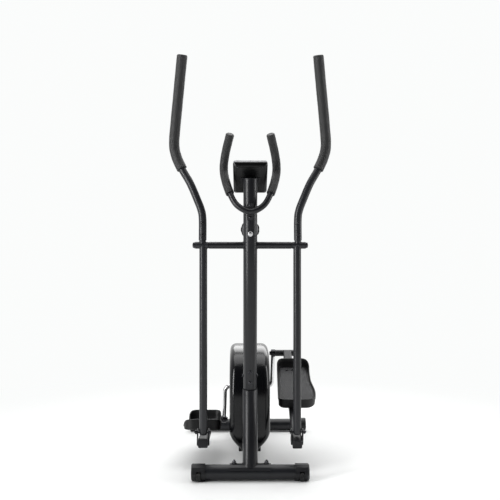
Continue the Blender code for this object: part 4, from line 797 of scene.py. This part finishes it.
for side_name, side in (("left", 1), ("right", -1)):
    body = "arm_" + side_name
    stand = arm_space(side_name)
    down = (stand.to_3x3() @ Vector((0, 0, -1))).normalized()
    top = stand @ Vector((side * ARM_X, 0, -0.004))
    arm_profile = [(0.0, ARM_R - 0.0008), (0.0008, ARM_R), (ARM_LENGTH - 0.009, ARM_R)]
    for step in range(1, 8):
        turn = math.radians(90 * step / 7)
        arm_profile.append((ARM_LENGTH - 0.0010 + 0.0080 * math.sin(turn),
                            0.0001 + (ARM_R - 0.0001) * (0.35 + 0.65 * math.cos(turn))))
    arm_profile.append((ARM_LENGTH + 0.0071, 0.0001))
    arm = lathe("arm_tube_" + side_name, top, down, arm_profile)
    dress(arm, body, "black_paint", arm_paint, "lower_arm_" + side_name)

    hub_profile = [(0.0, 0.0088), (0.0, CROSS_TUBE_R - 0.0007), (0.0007, CROSS_TUBE_R),
                   (HUB_LENGTH - 0.0007, CROSS_TUBE_R), (HUB_LENGTH, CROSS_TUBE_R - 0.0007),
                   (HUB_LENGTH, 0.0088)]
    hub_place = PIVOT + OUT * (side * HUB_START)
    hub = lathe("arm_hub_" + side_name, hub_place, OUT * side, hub_profile, ROUND, True)
    dress(hub, body, "black_paint", arm_paint)
    bush_r = CROSS_TUBE_R - 0.0016
    bush = lathe("arm_bush_" + side_name, PIVOT + OUT * (side * 0.1501), OUT * side,
                 [(0.0, 0.0090), (0.0, bush_r), (0.0022, bush_r), (0.0022, 0.0090)], ROUND, True)
    dress(bush, "base", "black_plastic", wheel_plastic)
    spigot = lathe("arm_spigot_" + side_name, stand @ Vector((side * HANDLE_X, 0, 0.006)), -down,
                   [(0.0, 0.0123), (0.0140, 0.0123), (0.0140, 0.0100)])
    dress(spigot, body, "black_paint", arm_paint)
    arm_root = Vector((side * ARM_X, PIVOT.y, PIVOT.z))
    line, outward = saddle_joint(arm_root, OUT, CROSS_TUBE_R, down, ARM_R * 0.9, 1)
    weld_bead("arm_weld_" + side_name, line, outward, 0.0015, body, arm_paint)

    handle_points = [Vector((side * x, y, z)) for x, y, z in HANDLE_POINTS]
    handle_path = [stand @ point for point in smooth_path(handle_points, HANDLE_STEPS)]
    handle = swept("handle_tube_" + side_name, handle_path[::-1], ARM_R, ROUND, 0.0015)
    dress(handle, body, "black_paint", arm_paint, "upper_handle_" + side_name)
    grip_path = handle_path[FOAM_START * HANDLE_STEPS:]
    grip = sleeve("long_grip_" + side_name, grip_path, FOAM_R, ARM_R, 0.7 * side, 0.0085)
    dress(grip, body, "grip_foam", arm_foam, "handle_grip_" + side_name)

    forward = (stand.to_3x3() @ Vector((0, -1, 0))).normalized()
    for bolt_name, height in HANDLE_BOLTS:
        spot = stand @ Vector((side * HANDLE_X, -ARM_R + 0.0002, height))
        button_head("handle_bolt_%s_%s" % (bolt_name, side_name), spot, forward, 0.0050, 0.0034,
                    body, black_oxide, "dark_steel", 0.0022)


# ------------------------------------------------------------------ crank
# One forged and chromed rod, bent to a Z, with an eye welded to each end. A threaded pin
# goes through each eye from the pedal tube and is held inside by a nut.
CRANK_Y = FRONT_Y + 0.600
CRANK_Z = 0.2445
CRANK_THROW = 0.150
CRANK_REST = math.radians(6.5)
ROD_R = 0.009
EYE_X = 0.109
EYE_HALF = 0.009
EYE_R = 0.0165
EYE_BORE = 0.0074
BEND_X = 0.104
BEND_R = 0.024
FLANGE_R = 0.030
chrome = bare_steel("crank_chrome", (0.58, 0.58, 0.585), (0.80, 0.80, 0.805), 0.05, 0.16, 0.03)
paint_nodes(chrome, "crank_pin_left", "crank_pin_right")


def bend(before, corner, after, radius, steps):
    """Points of an arc that rounds a corner."""
    back = (before - corner).normalized()
    ahead = (after - corner).normalized()
    half = back.angle(ahead) / 2
    reach = radius / math.tan(half)
    centre = corner + (back + ahead).normalized() * (radius / math.sin(half))
    first = corner + back * reach - centre
    last = corner + ahead * reach - centre
    sweep = first.angle(last)
    arc = []
    for k in range(steps + 1):
        turn = sweep * k / steps
        blend = first * math.sin(sweep - turn) + last * math.sin(turn)
        arc.append(centre + blend / math.sin(sweep))
    return arc


crank_up = Vector((0, -math.sin(CRANK_REST), math.cos(CRANK_REST)))
crank_middle = Vector((0, CRANK_Y, CRANK_Z))
crank_tip = OUT * (EYE_X - 0.0004) + crank_up * (CRANK_THROW - 0.0125)
crank_corners = [crank_middle - crank_tip, crank_middle - OUT * BEND_X,
                 crank_middle + OUT * BEND_X, crank_middle + crank_tip]
crank_path = [crank_corners[0], *bend(*crank_corners[:3], BEND_R, 14),
              *bend(*crank_corners[1:], BEND_R, 14), crank_corners[-1]]
crank_rod = swept("crank_rod", crank_path, ROD_R, 40)
dress(crank_rod, "crankset", "bright_steel", chrome, "crank")
hub_flange = lathe("crank_flange", (0.0525, CRANK_Y, CRANK_Z), OUT,
                   [(0.0, 0.0095), (0.0, FLANGE_R - 0.0004), (0.0004, FLANGE_R), (0.0026, FLANGE_R),
                    (0.003, FLANGE_R - 0.0004), (0.003, 0.0095)], ROUND, True)
dress(hub_flange, "crankset", "bright_steel", chrome)
for side_name, side in (("left", 1), ("right", -1)):
    eye_place = crank_middle + OUT * (side * (EYE_X - EYE_HALF)) + crank_up * (side * CRANK_THROW)
    eye_profile = [(0.0, EYE_BORE), (0.0, EYE_R - 0.0012), (0.0012, EYE_R),
                   (2 * EYE_HALF - 0.0012, EYE_R), (2 * EYE_HALF, EYE_R - 0.0012),
                   (2 * EYE_HALF, EYE_BORE)]
    eye = lathe("crank_eye_" + side_name, eye_place, OUT * side, eye_profile, ROUND, True)
    dress(eye, "crankset", "bright_steel", black_oxide)


# ------------------------------------------------------------------ drive inside the casing
# A cast flywheel with a turned rim is driven by a ribbed rubber belt from the crank pulley.
# A hinged bracket brings magnets near its rim, pulled by a cable from the knob.
cast_iron = bare_steel("cast_iron", (0.055, 0.055, 0.058), (0.160, 0.160, 0.165), 0.35, 0.60, 0.2)
belt_rubber = moulded_plastic("belt_rubber", (0.0070, 0.0070, 0.0072), 0.72, 1800.0, 0.4, 0.05)
roller_plastic = moulded_plastic("roller_plastic", (0.20, 0.205, 0.215), 0.45, 1200.0, 0.2, 0.05, 0.12)
drive_plastic = moulded_plastic("drive_plastic", (0.0075, 0.0076, 0.0080), 0.50)
paint_nodes(cast_iron, "flywheel")
paint_nodes(belt_rubber, "drive_belt", "tension_cable", "mode_button")
paint_nodes(roller_plastic, "idler_wheel")
paint_nodes(drive_plastic, "drive_pulley")


# ------------------------------------------------------------------ casing
# Two deep mouldings in polished black plastic meet on the centre line and close round the
# main frame. Their broad rounded edge throws back the whole room; a fine groove marks the joint.
CASE_HALF = 0.078
CASE_FILLET = 0.026
CASE_DISH = 0.0026
CASE_POINTS = ((0.128, 0.1275), (0.131, 0.2225), (0.138, 0.3175), (0.175, 0.3995), (0.255, 0.4415),
               (0.370, 0.4535), (0.490, 0.4465), (0.600, 0.4185), (0.690, 0.3575), (0.745, 0.2695),
               (0.760, 0.1875), (0.748, 0.1125), (0.700, 0.0695), (0.600, 0.0625), (0.440, 0.0625),
               (0.280, 0.0625), (0.180, 0.0645), (0.142, 0.0795))
CASE_SCREWS = ((0.215, 0.335), (0.205, 0.150), (0.440, 0.385), (0.640, 0.130))
LUG_SIZE = (0.0160, 0.0260, 0.0170)
CASE_MIDDLE = (FRONT_Y + 0.444, 0.2580)
CASE_REACH = (0.316, 0.1955)
CASE_COLOUR = (0.0018, 0.0020, 0.0026)

# Fine swirls that a cloth leaves in polished plastic.
polish_haze, start, end = effect(
    "polish_haze", (("Haze Scale", 22.0),), (("Height", FLOAT), ("Haze", FLOAT)))
place = wire(polish_haze, "ShaderNodeTexCoord", -1200, -300)
swirl = wire(polish_haze, "ShaderNodeTexNoise", -900, 200, Scale=160.0, Detail=2.0)
haze = wire(polish_haze, "ShaderNodeTexNoise", -900, -200, Detail=7.0, Roughness=0.7, Distortion=0.6)
join(polish_haze, (place, "Object", swirl, "Vector"), (place, "Object", haze, "Vector"),
                  (start, "Haze Scale", haze, "Scale"), (swirl, "Fac", end, "Height"),
                  (haze, "Fac", end, "Haze"))


def polished_plastic(name, colour, low_rough, high_rough, dust):
    """Hard polished plastic with faint haze and dust."""
    material, tree, shader = finish_base(name, low_rough, 0.0, 0.34)
    rub = placed(tree, polish_haze, -300, 0)
    light = tuple(part * 1.8 for part in colour)
    tone_out = coloured(tree, colour, light, rub.outputs["Haze"], 0, 100)
    tree.links.new(dusted(tree, tone_out, dust, 300, 100), shader.inputs["Base Color"])
    rough_by(tree, shader, rub.outputs["Haze"], low_rough, high_rough)
    bumped(tree, shader, rub.outputs["Height"], 0.04, 0.0004)
    return material


case_gloss = polished_plastic("case_gloss", CASE_COLOUR, 0.14, 0.24, 0.02)


def closed_curve(points, steps):
    """A smooth closed curve through (y, z) points."""
    count = len(points)
    line = []
    for i in range(count):
        near = [Vector(points[(i + k) % count]) for k in (-1, 0, 1, 2)]
        line += [curve_point(*near, k / steps) for k in range(steps)]
    return line


case_line = closed_curve([(FRONT_Y + y, z) for y, z in CASE_POINTS], 7)


def case_ring(x, shrink, side):
    """The casing's outline at a distance from the joint, drawn in towards its middle."""
    scale = [1 - shrink / reach for reach in CASE_REACH]
    ring = []
    for point in case_line:
        y = CASE_MIDDLE[0] + (point.x - CASE_MIDDLE[0]) * scale[0]
        z = CASE_MIDDLE[1] + (point.y - CASE_MIDDLE[1]) * scale[1]
        t = min(1.0, max(0.0, (z - 0.0820) / 0.060))
        waist = 0.56 + 0.44 * (1 - (1 - t) ** 1.6)
        ring.append(Vector((side * x * (waist if x > 0.002 else 1.0), y, z)))
    return ring


for side_name, side in (("left", 1), ("right", -1)):
    flat = CASE_HALF - CASE_FILLET
    stations = [(0.00015, 0.0035), (0.00015, 0.0012), (0.0006, 0.0004), (0.0012, 0.0),
                (0.0080, 0.0), (0.0200, 0.0), (flat, 0.0)]
    for step in range(1, 13):
        turn = math.radians(90 * step / 12)
        stations.append((flat + CASE_FILLET * math.sin(turn), CASE_FILLET * (1 - math.cos(turn))))
    # The side panel ends in a shallow dish. A raised ring lies round the crank on it.
    stations += [(CASE_HALF, 0.060), (CASE_HALF, 0.085), (CASE_HALF, 0.098),
                 (CASE_HALF - 0.0006, 0.101), (CASE_HALF - 0.0022, 0.104),
                 (CASE_HALF - CASE_DISH, 0.108), (CASE_HALF - CASE_DISH, 0.150)]
    case_rings = [case_ring(x, shrink, side) for x, shrink in stations]
    shell = ring_skin("casing_" + side_name, case_rings, True, False, 50)
    dress(shell, "base", "gloss_plastic", case_gloss, "housing_" + side_name)
    gland_place = (side * (CASE_HALF - 0.0030), CRANK_Y, CRANK_Z)
    gland = lathe("crank_gland_" + side_name, gland_place, OUT * side,
                  [(0.0, 0.0250), (0.0018, 0.0250), (0.0028, 0.0240), (0.0032, 0.0220), (0.0032, 0.0150),
                   (0.0022, 0.0120), (0.0, 0.0115)], ROUND, True)
    dress(gland, "base", "gloss_plastic", drive_plastic)


def cross_screw(name, place, outward, radius, body, material, slot_name, stand=0.0012):
    """A pan-head screw with a cross recess."""
    outward = Vector(outward).normalized()
    profile = [(0.0, radius), (stand * 0.45, radius), (stand * 0.85, radius * 0.86),
               (stand, radius * 0.62)]
    build = lathe(None, place, outward, profile, 24, False, bmesh.new())
    across, up = square_to(outward)
    centre = Vector(place) + outward * (stand + 0.00005)
    for one, other in ((across, up), (up, across)):
        arm_long, arm_wide = radius * 0.52, radius * 0.13
        corners = [centre + one * (a * arm_long) + other * (b * arm_wide)
                   for a, b in ((-1, -1), (1, -1), (1, 1), (-1, 1))]
        deep = [centre - outward * (stand * 0.5) + (corner - centre) * 0.7 for corner in corners]
        ring_skin(None, [corners, deep], True, False, 35, build)
    made = mesh_piece(name, build, 30)
    return dress(made, body, slot_name, material)


# Two square lugs under the front of the casing clip it to the frame.
for side_name, side in (("left", 1), ("right", -1)):
    lug_build = bmesh.new()
    bmesh.ops.create_cube(lug_build, size=1.0)
    bmesh.ops.scale(lug_build, vec=LUG_SIZE, verts=lug_build.verts)
    bmesh.ops.bevel(lug_build, geom=list(lug_build.edges), offset=0.0015, segments=2, affect="EDGES")
    bmesh.ops.translate(lug_build, vec=(side * 0.0345, FRONT_Y + 0.172, 0.0735), verts=lug_build.verts)
    dress(mesh_piece("casing_lug_" + side_name, lug_build), "base", "gloss_plastic", drive_plastic)

for side_name, side in (("left", 1), ("right", -1)):
    for number, (y, z) in enumerate(CASE_SCREWS, 1):
        label = "%d_%s" % (number, side_name)
        boss_place = (side * (CASE_HALF - 0.0040), FRONT_Y + y, z)
        boss_profile = [(0.0, 0.0080), (0.0036, 0.0078), (0.0044, 0.0070), (0.0044, 0.0052),
                        (0.0030, 0.0048)]
        boss = lathe("casing_boss_" + label, boss_place, OUT * side, boss_profile, 32)
        dress(boss, "base", "gloss_plastic", drive_plastic)
        cross_screw("casing_screw_" + label, (side * (CASE_HALF - 0.0010), FRONT_Y + y, z),
                    OUT * side, 0.0040, "base", black_oxide, "dark_steel")


# ------------------------------------------------------------------ foot trays
# Each tray is one deep moulding with high toe and heel walls and a low outer lip. Its floor
# has a field of small pyramid studs between two plain margins, the studs a paler grey than the tray.
LINK_LENGTH = 0.6195
LINK_DROP = 0.036
TRAY_TOE = 0.175
TRAY_HEEL = 0.478
TRAY_FLOOR = 0.0035
TRAY_WALL = 0.0032
TRAY_HIGH = 0.042
TRAY_LOW = 0.009
TRAY_BASE = -LINK_DROP + 0.016 + 0.0003
TRAY_CORNERS = (
    # x, y, radius of the corner
    (0.112, TRAY_TOE, 0.026), (0.2520, TRAY_TOE, 0.040), (0.2640, TRAY_TOE + 0.105, 0.200),
    (0.2505, TRAY_HEEL - 0.120, 0.200), (0.2510, TRAY_HEEL, 0.034), (0.1195, TRAY_HEEL, 0.026))
WALL_RUN = 0.060             # length over which a wall rises at the toe and the heel
STUD_PITCH = 0.0096
STUD_HIGH = 0.0013
TRAY_SCREWS = ((0.160, TRAY_TOE + 0.032), (0.182, TRAY_TOE + 0.032),
               (0.160, TRAY_HEEL - 0.036), (0.182, TRAY_HEEL - 0.036))
tray_plastic = moulded_plastic("tray_plastic", (0.0032, 0.0033, 0.0036), 0.46, 700.0, 0.35, 0.02, 0.6)
tread_plastic = moulded_plastic("tread_plastic", (0.1500, 0.1520, 0.1570), 0.50, 1100.0, 0.45, 0.05, 0.4)


def tray_plan(inset):
    """Plan of a tray as (x, y) points, for the left side."""
    points = []
    corners = [Vector((x, y, 0)) for x, y, _ in TRAY_CORNERS]
    for i, (_, _, radius) in enumerate(TRAY_CORNERS):
        following = corners[(i + 1) % len(corners)]
        points += bend(corners[i - 1], corners[i], following, radius, 12)
    dense = []
    for i, point in enumerate(points):
        following = points[(i + 1) % len(points)]
        pieces = max(1, int((following - point).length / 0.008))
        dense += [point.lerp(following, k / pieces) for k in range(pieces)]
    drawn = []
    for i, point in enumerate(dense):
        along = (dense[(i + 1) % len(dense)] - dense[i - 1]).normalized()
        drawn.append(point + Vector((-along.y, along.x, 0)) * inset)
    return drawn


def wall_height(y):
    """Height of the tray's wall at a place along it."""
    rise = max(0.0, 1 - (y - TRAY_TOE) / WALL_RUN, 1 - (TRAY_HEEL - y) / WALL_RUN)
    return TRAY_LOW + (TRAY_HIGH - TRAY_LOW) * rise * rise * (3 - 2 * rise)


def inside_plan(plan, x, y):
    """Whether a point lies inside a plan outline."""
    hit = False
    for i, point in enumerate(plan):
        other = plan[i - 1]
        if (point.y > y) != (other.y > y):
            slant = (other.x - point.x) / (other.y - point.y)
            hit ^= x < slant * (y - point.y) + point.x
    return hit


pin_at = {"left": crank_middle + crank_up * CRANK_THROW,
          "right": crank_middle - crank_up * CRANK_THROW}


def rounded_rectangle(half_w, half_h, corner, steps):
    """Points (x, z) round a rectangle with rounded corners."""
    points = []
    for cx, cz, first in ((1, 1, 0), (-1, 1, 90), (-1, -1, 180), (1, -1, 270)):
        for k in range(steps + 1):
            angle = math.radians(first + 90 * k / steps)
            points.append((cx * (half_w - corner) + corner * math.cos(angle),
                           cz * (half_h - corner) + corner * math.sin(angle)))
    return points


def pedal_space(side_name):
    """Places drawn in a pedal tube's own frame, as they stand at rest."""
    foot = joint_at["pedal_level_" + side_name]
    pin = pin_at[side_name]
    slope = math.atan2(pin.z - foot.z, pin.y - foot.y) + math.atan2(LINK_DROP, LINK_LENGTH)
    return Matrix.Translation((0, foot.y, foot.z)) @ Matrix.Rotation(slope, 4, "X")


for side_name, side in (("left", 1), ("right", -1)):
    stand = pedal_space(side_name)
    body = "foot_" + side_name
    # Each level: distance in from the outline, share of the wall's height, and height on top.
    levels = ((0.0022, 0.0, 0.0002), (0.0006, 0.0, 0.0012), (0.0, 0.5, 0.0), (0.0, 1.0, -0.0034),
              (-0.0014, 1.0, -0.0030), (-0.0018, 1.0, -0.0018), (-0.0012, 1.0, -0.0004),
              (0.0004, 1.0, 0.0), (TRAY_WALL - 0.0010, 1.0, 0.0), (TRAY_WALL, 1.0, -0.0010),
              (TRAY_WALL + 0.0006, 0.5, 0.0015), (TRAY_WALL + 0.0012, 0.0, TRAY_FLOOR + 0.0026),
              (TRAY_WALL + 0.0022, 0.0, TRAY_FLOOR + 0.0008), (TRAY_WALL + 0.0042, 0.0, TRAY_FLOOR))
    rings = []
    for inset, share, extra in levels:
        rings.append([stand @ Vector((side * x, y, TRAY_BASE + wall_height(y) * share + extra))
                      for x, y, _ in tray_plan(inset)])
    tray = ring_skin("foot_tray_" + side_name, rings, True, False, 50)
    dress(tray, body, "tread_plastic", tray_plastic, "pedal_" + side_name)

    field = tray_plan(TRAY_WALL + 0.0085)
    studs = bmesh.new()
    rows = int((TRAY_HEEL - TRAY_TOE) / (STUD_PITCH * 0.5))
    for row in range(rows):
        y = TRAY_TOE + 0.004 + row * STUD_PITCH * 0.5
        for column in range(24):
            x = 0.105 + (column + 0.5 * (row % 2)) * STUD_PITCH
            if not inside_plan(field, x, y):
                continue
            stud = []
            for half, z in ((STUD_PITCH * 0.30, 0.0), (STUD_PITCH * 0.18, STUD_HIGH)):
                height = TRAY_BASE + TRAY_FLOOR - 0.0001 + z
                stud.append([stand @ Vector((side * (x + half * a), y + half * b, height))
                             for a, b in ((-1, 0), (0, -1), (1, 0), (0, 1))])
            ring_skin(None, stud, True, False, 20, studs)
    tread = mesh_piece("tread_studs_" + side_name, studs, 20)
    dress(tread, body, "tread_plastic", tread_plastic)

    for number, (x, y) in enumerate(TRAY_SCREWS, 1):
        spot = stand @ Vector((side * x, y, TRAY_BASE + TRAY_FLOOR + 0.0001))
        upward = stand.to_3x3() @ Vector((0, 0, 1))
        button_head("tray_screw_%d_%s" % (number, side_name), spot, upward, 0.0046, 0.0024, body,
                    black_oxide, "dark_steel", 0.0020)
    for end_name, y, facing in (("front", -0.030, -1), ("rear", LINK_LENGTH - 0.004, 1)):
        plug = bmesh.new()
        plug_rings = []
        for inset, out in ((0.0, -0.0030), (0.0, 0.0012), (0.0010, 0.0024), (0.0040, 0.0030)):
            outline = rounded_rectangle(0.0172 - inset, 0.0157 - inset, 0.0045 - inset * 0.6, 4)
            depth = y + facing * (out - 0.0006)
            plug_rings.append([stand @ Vector((side * ARM_X + x, depth, z - LINK_DROP))
                               for x, z in outline])
        ring_skin(None, plug_rings, True, False, 40, plug)
        plug_name = "tube_plug_%s_%s" % (end_name, side_name)
        dress(mesh_piece(plug_name, plug), body, "black_plastic", cap_plastic)


# ------------------------------------------------------------------ tension knob
# A round seat of grey plastic is screwed to the back of the post from the front. The knob
# on it has nine finger flutes, a pointer line and a ring of set marks.
KNOB_R = 0.035
KNOB_Z = 0.9085
SCREW_Z = 0.8985
CABLE_Z = 0.4415
FLUTES = 9
FLUTE_DEPTH = 0.0030
KNOB_SIDES = 144
SET_MARKS = 8
KNOB_PROFILE = (
    # distance from the post, radius, share of the flute depth
    (0.0187, KNOB_R - 0.0012, 0.0), (0.0190, KNOB_R - 0.0004, 0.6), (0.0198, KNOB_R - 0.0002, 1.0),
    (0.0290, KNOB_R - 0.0004, 1.0), (0.0312, KNOB_R - 0.0012, 1.0), (0.0330, KNOB_R - 0.0030, 0.8),
    (0.0348, KNOB_R - 0.0070, 0.35), (0.0360, KNOB_R - 0.0125, 0.0), (0.0362, 0.0175, 0.0),
    (0.0354, 0.0168, 0.0), (0.0354, 0.0001, 0.0))
seat_plastic = moulded_plastic("seat_plastic", (0.075, 0.077, 0.082), 0.42, 1000.0, 0.3, 0.10, 0.3)
knob_plastic = moulded_plastic("knob_plastic", (0.0070, 0.0070, 0.0075), 0.50, 1300.0, 0.5, 0.08)
mark_white = moulded_plastic("mark_white", (0.55, 0.55, 0.54), 0.50, 1500.0, 0.15, 0.10, 0.1)
knob_middle = post_axis(KNOB_Z)
paint_nodes(seat_plastic, "knob_base")
knob_build = bmesh.new()
knob_rings = []
for depth, radius, flute in KNOB_PROFILE:
    ring = []
    for k in range(KNOB_SIDES):
        turn = math.tau * k / KNOB_SIDES
        r = radius - flute * FLUTE_DEPTH * max(0.0, math.cos(FLUTES * turn)) ** 1.5
        around = OUT * (r * math.cos(turn)) + POST_UP * (r * math.sin(turn))
        ring.append(knob_middle + POST_BACK * (POST_R + depth) + around)
    knob_rings.append(ring)
ring_skin(None, knob_rings, True, False, 40, knob_build)
knob = mesh_piece("knob", knob_build, 45)
dress(knob, "knob", "black_plastic", knob_plastic, "tension_knob")
pointer = bmesh.new()
pointer_rings = []
for height in (0.0352, 0.0368):
    pointer_rings.append([knob_middle + POST_BACK * (POST_R + height - drop) + OUT * x + POST_UP * z
                          for x, z, drop in ((-0.0010, 0.0180, 0.0), (0.0010, 0.0180, 0.0),
                                             (0.0007, 0.0255, 0.0014), (-0.0007, 0.0255, 0.0014))])
ring_skin(None, pointer_rings, True, False, 30, pointer)
dress(mesh_piece("knob_pointer", pointer), "knob", "grey_plastic", mark_white)
for mark in range(SET_MARKS):
    turn = math.radians(-135 + 270 * mark / (SET_MARKS - 1))
    radial = OUT * math.sin(turn) + POST_UP * math.cos(turn)
    tangent = OUT * math.cos(turn) - POST_UP * math.sin(turn)
    tick = bmesh.new()
    rings = []
    for height in (0.0175, 0.0184):
        level = knob_middle + POST_BACK * (POST_R + height - 0.0004)
        rings.append([level + radial * a + tangent * b
                      for a, b in ((0.0262, -0.0005), (0.0292, -0.0005),
                                   (0.0292, 0.0005), (0.0262, 0.0005))])
    ring_skin(None, rings, True, False, 30, tick)
    dress(mesh_piece("knob_mark_%d" % mark, tick), "base", "grey_plastic", mark_white)
screw_place = post_axis(SCREW_Z) - POST_BACK * (POST_R + 0.0002)
screw_front = button_head("knob_screw_head", screw_place, -POST_BACK, 0.0074, 0.0036,
                          "base", bright_plate, "bright_steel", 0.0026)
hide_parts("knob_screw")
grommet = lathe("cable_grommet", post_axis(CABLE_Z) + POST_BACK * (POST_R - 0.0008), POST_BACK,
                [(0.0, 0.0028), (0.0, 0.0050), (0.0016, 0.0050), (0.0026, 0.0042), (0.0030, 0.0030)],
                24, True)
dress(grommet, "base", "rubber", belt_rubber)


# ------------------------------------------------------------------ console
# A small tilted console on a bracket: a grained black back with a ribbed battery door, and
# a pale grey front round a dark window with a plain number display and a round button.
CONSOLE_PLACE = Vector((0, FRONT_Y, 1.0963))
CONSOLE_TILT = math.radians(35)
CONSOLE_HALF_W = 0.063
CONSOLE_HALF_H = 0.0630
CONSOLE_DEPTH = 0.030
CONSOLE_SPLIT = 0.014
CONSOLE_TAPER = 0.035
CONSOLE_SCREWS = ((-0.0330, -0.0117), (0.0330, -0.0117), (-0.0455, 0.0460), (0.0455, 0.0460))
LID_RIBS = 5
DIGIT_ROWS = ((0.0225, 0.0360, 4), (0.0075, 0.0165, 6))    # low edge, high edge, digits
DIGITS_WIDE = 0.074
BUTTON_Z = -0.030
console_stand = Matrix.Translation(CONSOLE_PLACE) @ Matrix.Rotation(CONSOLE_TILT, 4, "X")
console_black = moulded_plastic("console_black", (0.0016, 0.0017, 0.0018), 0.30, 1100.0, 0.3, 0.02)
console_grey = moulded_plastic("console_grey", (0.270, 0.272, 0.285), 0.40, 1400.0, 0.2, 0.08, 0.12)
window_clear = polished_plastic("window_clear", (0.0060, 0.0075, 0.0070), 0.05, 0.12, 0.04)
lcd_glass = polished_plastic("lcd_glass", (0.115, 0.135, 0.105), 0.18, 0.28, 0.0)
lcd_dark = moulded_plastic("lcd_dark", (0.010, 0.012, 0.010), 0.35, 1600.0, 0.05, 0.0)
board_green = moulded_plastic("board_green", (0.012, 0.070, 0.024), 0.35, 900.0, 0.15, 0.0)
paint_nodes(board_green, "console_board")


def console_rim(depth, inset, steps=6):
    """The console's rounded outline at a depth, a little narrower at the foot."""
    ring = []
    for x, z in rounded_rectangle(CONSOLE_HALF_W - inset, CONSOLE_HALF_H - inset,
                                  max(0.002, 0.010 - inset * 0.5), steps):
        narrow = 1 - CONSOLE_TAPER * (0.5 - z / (2 * CONSOLE_HALF_H))
        ring.append(console_stand @ Vector((x * narrow, depth, z)))
    return ring


def oblong(x0, z0, x1, z1):
    """The four (x, z) corners of an upright rectangle."""
    return (x0, z0), (x1, z0), (x1, z1), (x0, z1)


def panel(name, corners, depths, slot_name, material, round_off=0.0, body="base", *stands_for):
    """A flat raised panel on the console, from (x, z) corners between two depths."""
    build = bmesh.new()
    rings = [[console_stand @ Vector((x, depth, z)) for x, z in corners] for depth in depths]
    ring_skin(None, rings, True, False, 30, build)
    if round_off:
        bmesh.ops.recalc_face_normals(build, faces=build.faces)
        bmesh.ops.bevel(build, geom=list(build.edges), offset=round_off, segments=3, affect="EDGES")
    made = mesh_piece(name, build, 30)
    return dress(made, body, slot_name, material, *stands_for)


back_profile = ((0.0010, 0.0130), (0.0010, 0.0126), (0.0, 0.0118), (0.0, 0.0098), (0.0004, 0.0088),
                (0.0085, 0.0010), (0.0098, 0.0002), (0.0110, 0.0), (CONSOLE_SPLIT - 0.0006, 0.0),
                (CONSOLE_SPLIT, 0.0006))
back_rings = [console_rim(depth, inset) for depth, inset in back_profile]
back_shell = ring_skin("console_back_shell", back_rings, True, False, 40)
dress(back_shell, "base", "black_plastic", console_black, "console_back")
panel("console_back_panel", ((-0.0420, -0.0460), (0.0420, -0.0460), (0.0485, 0.0500), (-0.0485, 0.0500)),
      (0.0016, 0.0002), "black_plastic", console_black, 0.0006)
panel("battery_lid", oblong(-0.0410, 0.0150, 0.0410, 0.0480),
      (0.0016, -0.0008), "black_plastic", console_black, 0.0006, "base", "battery_door")
for rib in range(LID_RIBS):
    z = 0.0196 + 0.0050 * rib
    panel("battery_lid_rib_%d" % rib, oblong(-0.0300, z, 0.0300, z + 0.0020),
          (0.0, -0.0020), "black_plastic", console_black, 0.0006)
panel("battery_lid_latch", oblong(0.0290, 0.0440, 0.0390, 0.0510),
      (0.0, -0.0022), "black_plastic", console_black, 0.0007)
for number, (x, z) in enumerate(CONSOLE_SCREWS, 1):
    cross_screw("console_screw_%d" % number, console_stand @ Vector((x, 0.0002, z)),
                console_stand.to_3x3() @ Vector((0, -1, 0)), 0.0032,
                "base", black_oxide, "dark_steel", 0.0010)
front_profile = ((CONSOLE_SPLIT + 0.0003, 0.0006), (CONSOLE_SPLIT + 0.0009, 0.0),
                 (CONSOLE_DEPTH - 0.0060, 0.0), (CONSOLE_DEPTH - 0.0034, 0.0006),
                 (CONSOLE_DEPTH - 0.0014, 0.0020), (CONSOLE_DEPTH - 0.0004, 0.0040),
                 (CONSOLE_DEPTH - 0.0001, 0.0058), (CONSOLE_DEPTH - 0.0009, 0.0070))
front_rings = [console_rim(depth, inset) for depth, inset in front_profile]
front_shell = ring_skin("console_front_shell", front_rings, True, False, 40)
dress(front_shell, "base", "grey_plastic", console_grey, "console_front")
panel("display_surround", ((-0.0520, -0.0075), (0.0520, -0.0075), (0.0540, 0.0480), (-0.0540, 0.0480)),
      (CONSOLE_DEPTH - 0.0030, CONSOLE_DEPTH - 0.0003), "gloss_plastic", window_clear, 0.0008,
      "base", "console_lens")
panel("display_glass", oblong(-0.0430, 0.0040, 0.0430, 0.0400),
      (CONSOLE_DEPTH - 0.0020, CONSOLE_DEPTH + 0.0001), "clear_plastic", lcd_glass, 0.0003)
for row, (low_z, high_z, count) in enumerate(DIGIT_ROWS):
    step = DIGITS_WIDE / count
    for digit in range(count):
        left = -DIGITS_WIDE / 2 + step * (digit + 0.18)
        right = -DIGITS_WIDE / 2 + step * (digit + 0.82)
        middle_z = (low_z + high_z) / 2
        bar = (high_z - low_z) * 0.085
        for part, (x0, x1, z0, z1) in enumerate((
                (left + bar, right - bar, low_z, low_z + bar),
                (left + bar, right - bar, high_z - bar, high_z),
                (left, left + bar, low_z + bar, middle_z),
                (left, left + bar, middle_z, high_z - bar),
                (right - bar, right, low_z + bar, middle_z),
                (right - bar, right, middle_z, high_z - bar))):
            panel("display_bar_%d_%d_%d" % (row, digit, part), oblong(x0, z0, x1, z1),
                  (CONSOLE_DEPTH - 0.0001, CONSOLE_DEPTH + 0.00025), "clear_plastic", lcd_dark)
collar = lathe("button_collar", console_stand @ Vector((0, CONSOLE_DEPTH - 0.0012, BUTTON_Z)),
               console_stand.to_3x3() @ Vector((0, 1, 0)),
               [(0.0, 0.0094), (0.0, 0.0125), (0.0006, 0.0125), (0.0014, 0.0118), (0.0014, 0.0102),
                (0.0006, 0.0094)], ROUND, True)
dress(collar, "base", "gloss_plastic", window_clear)
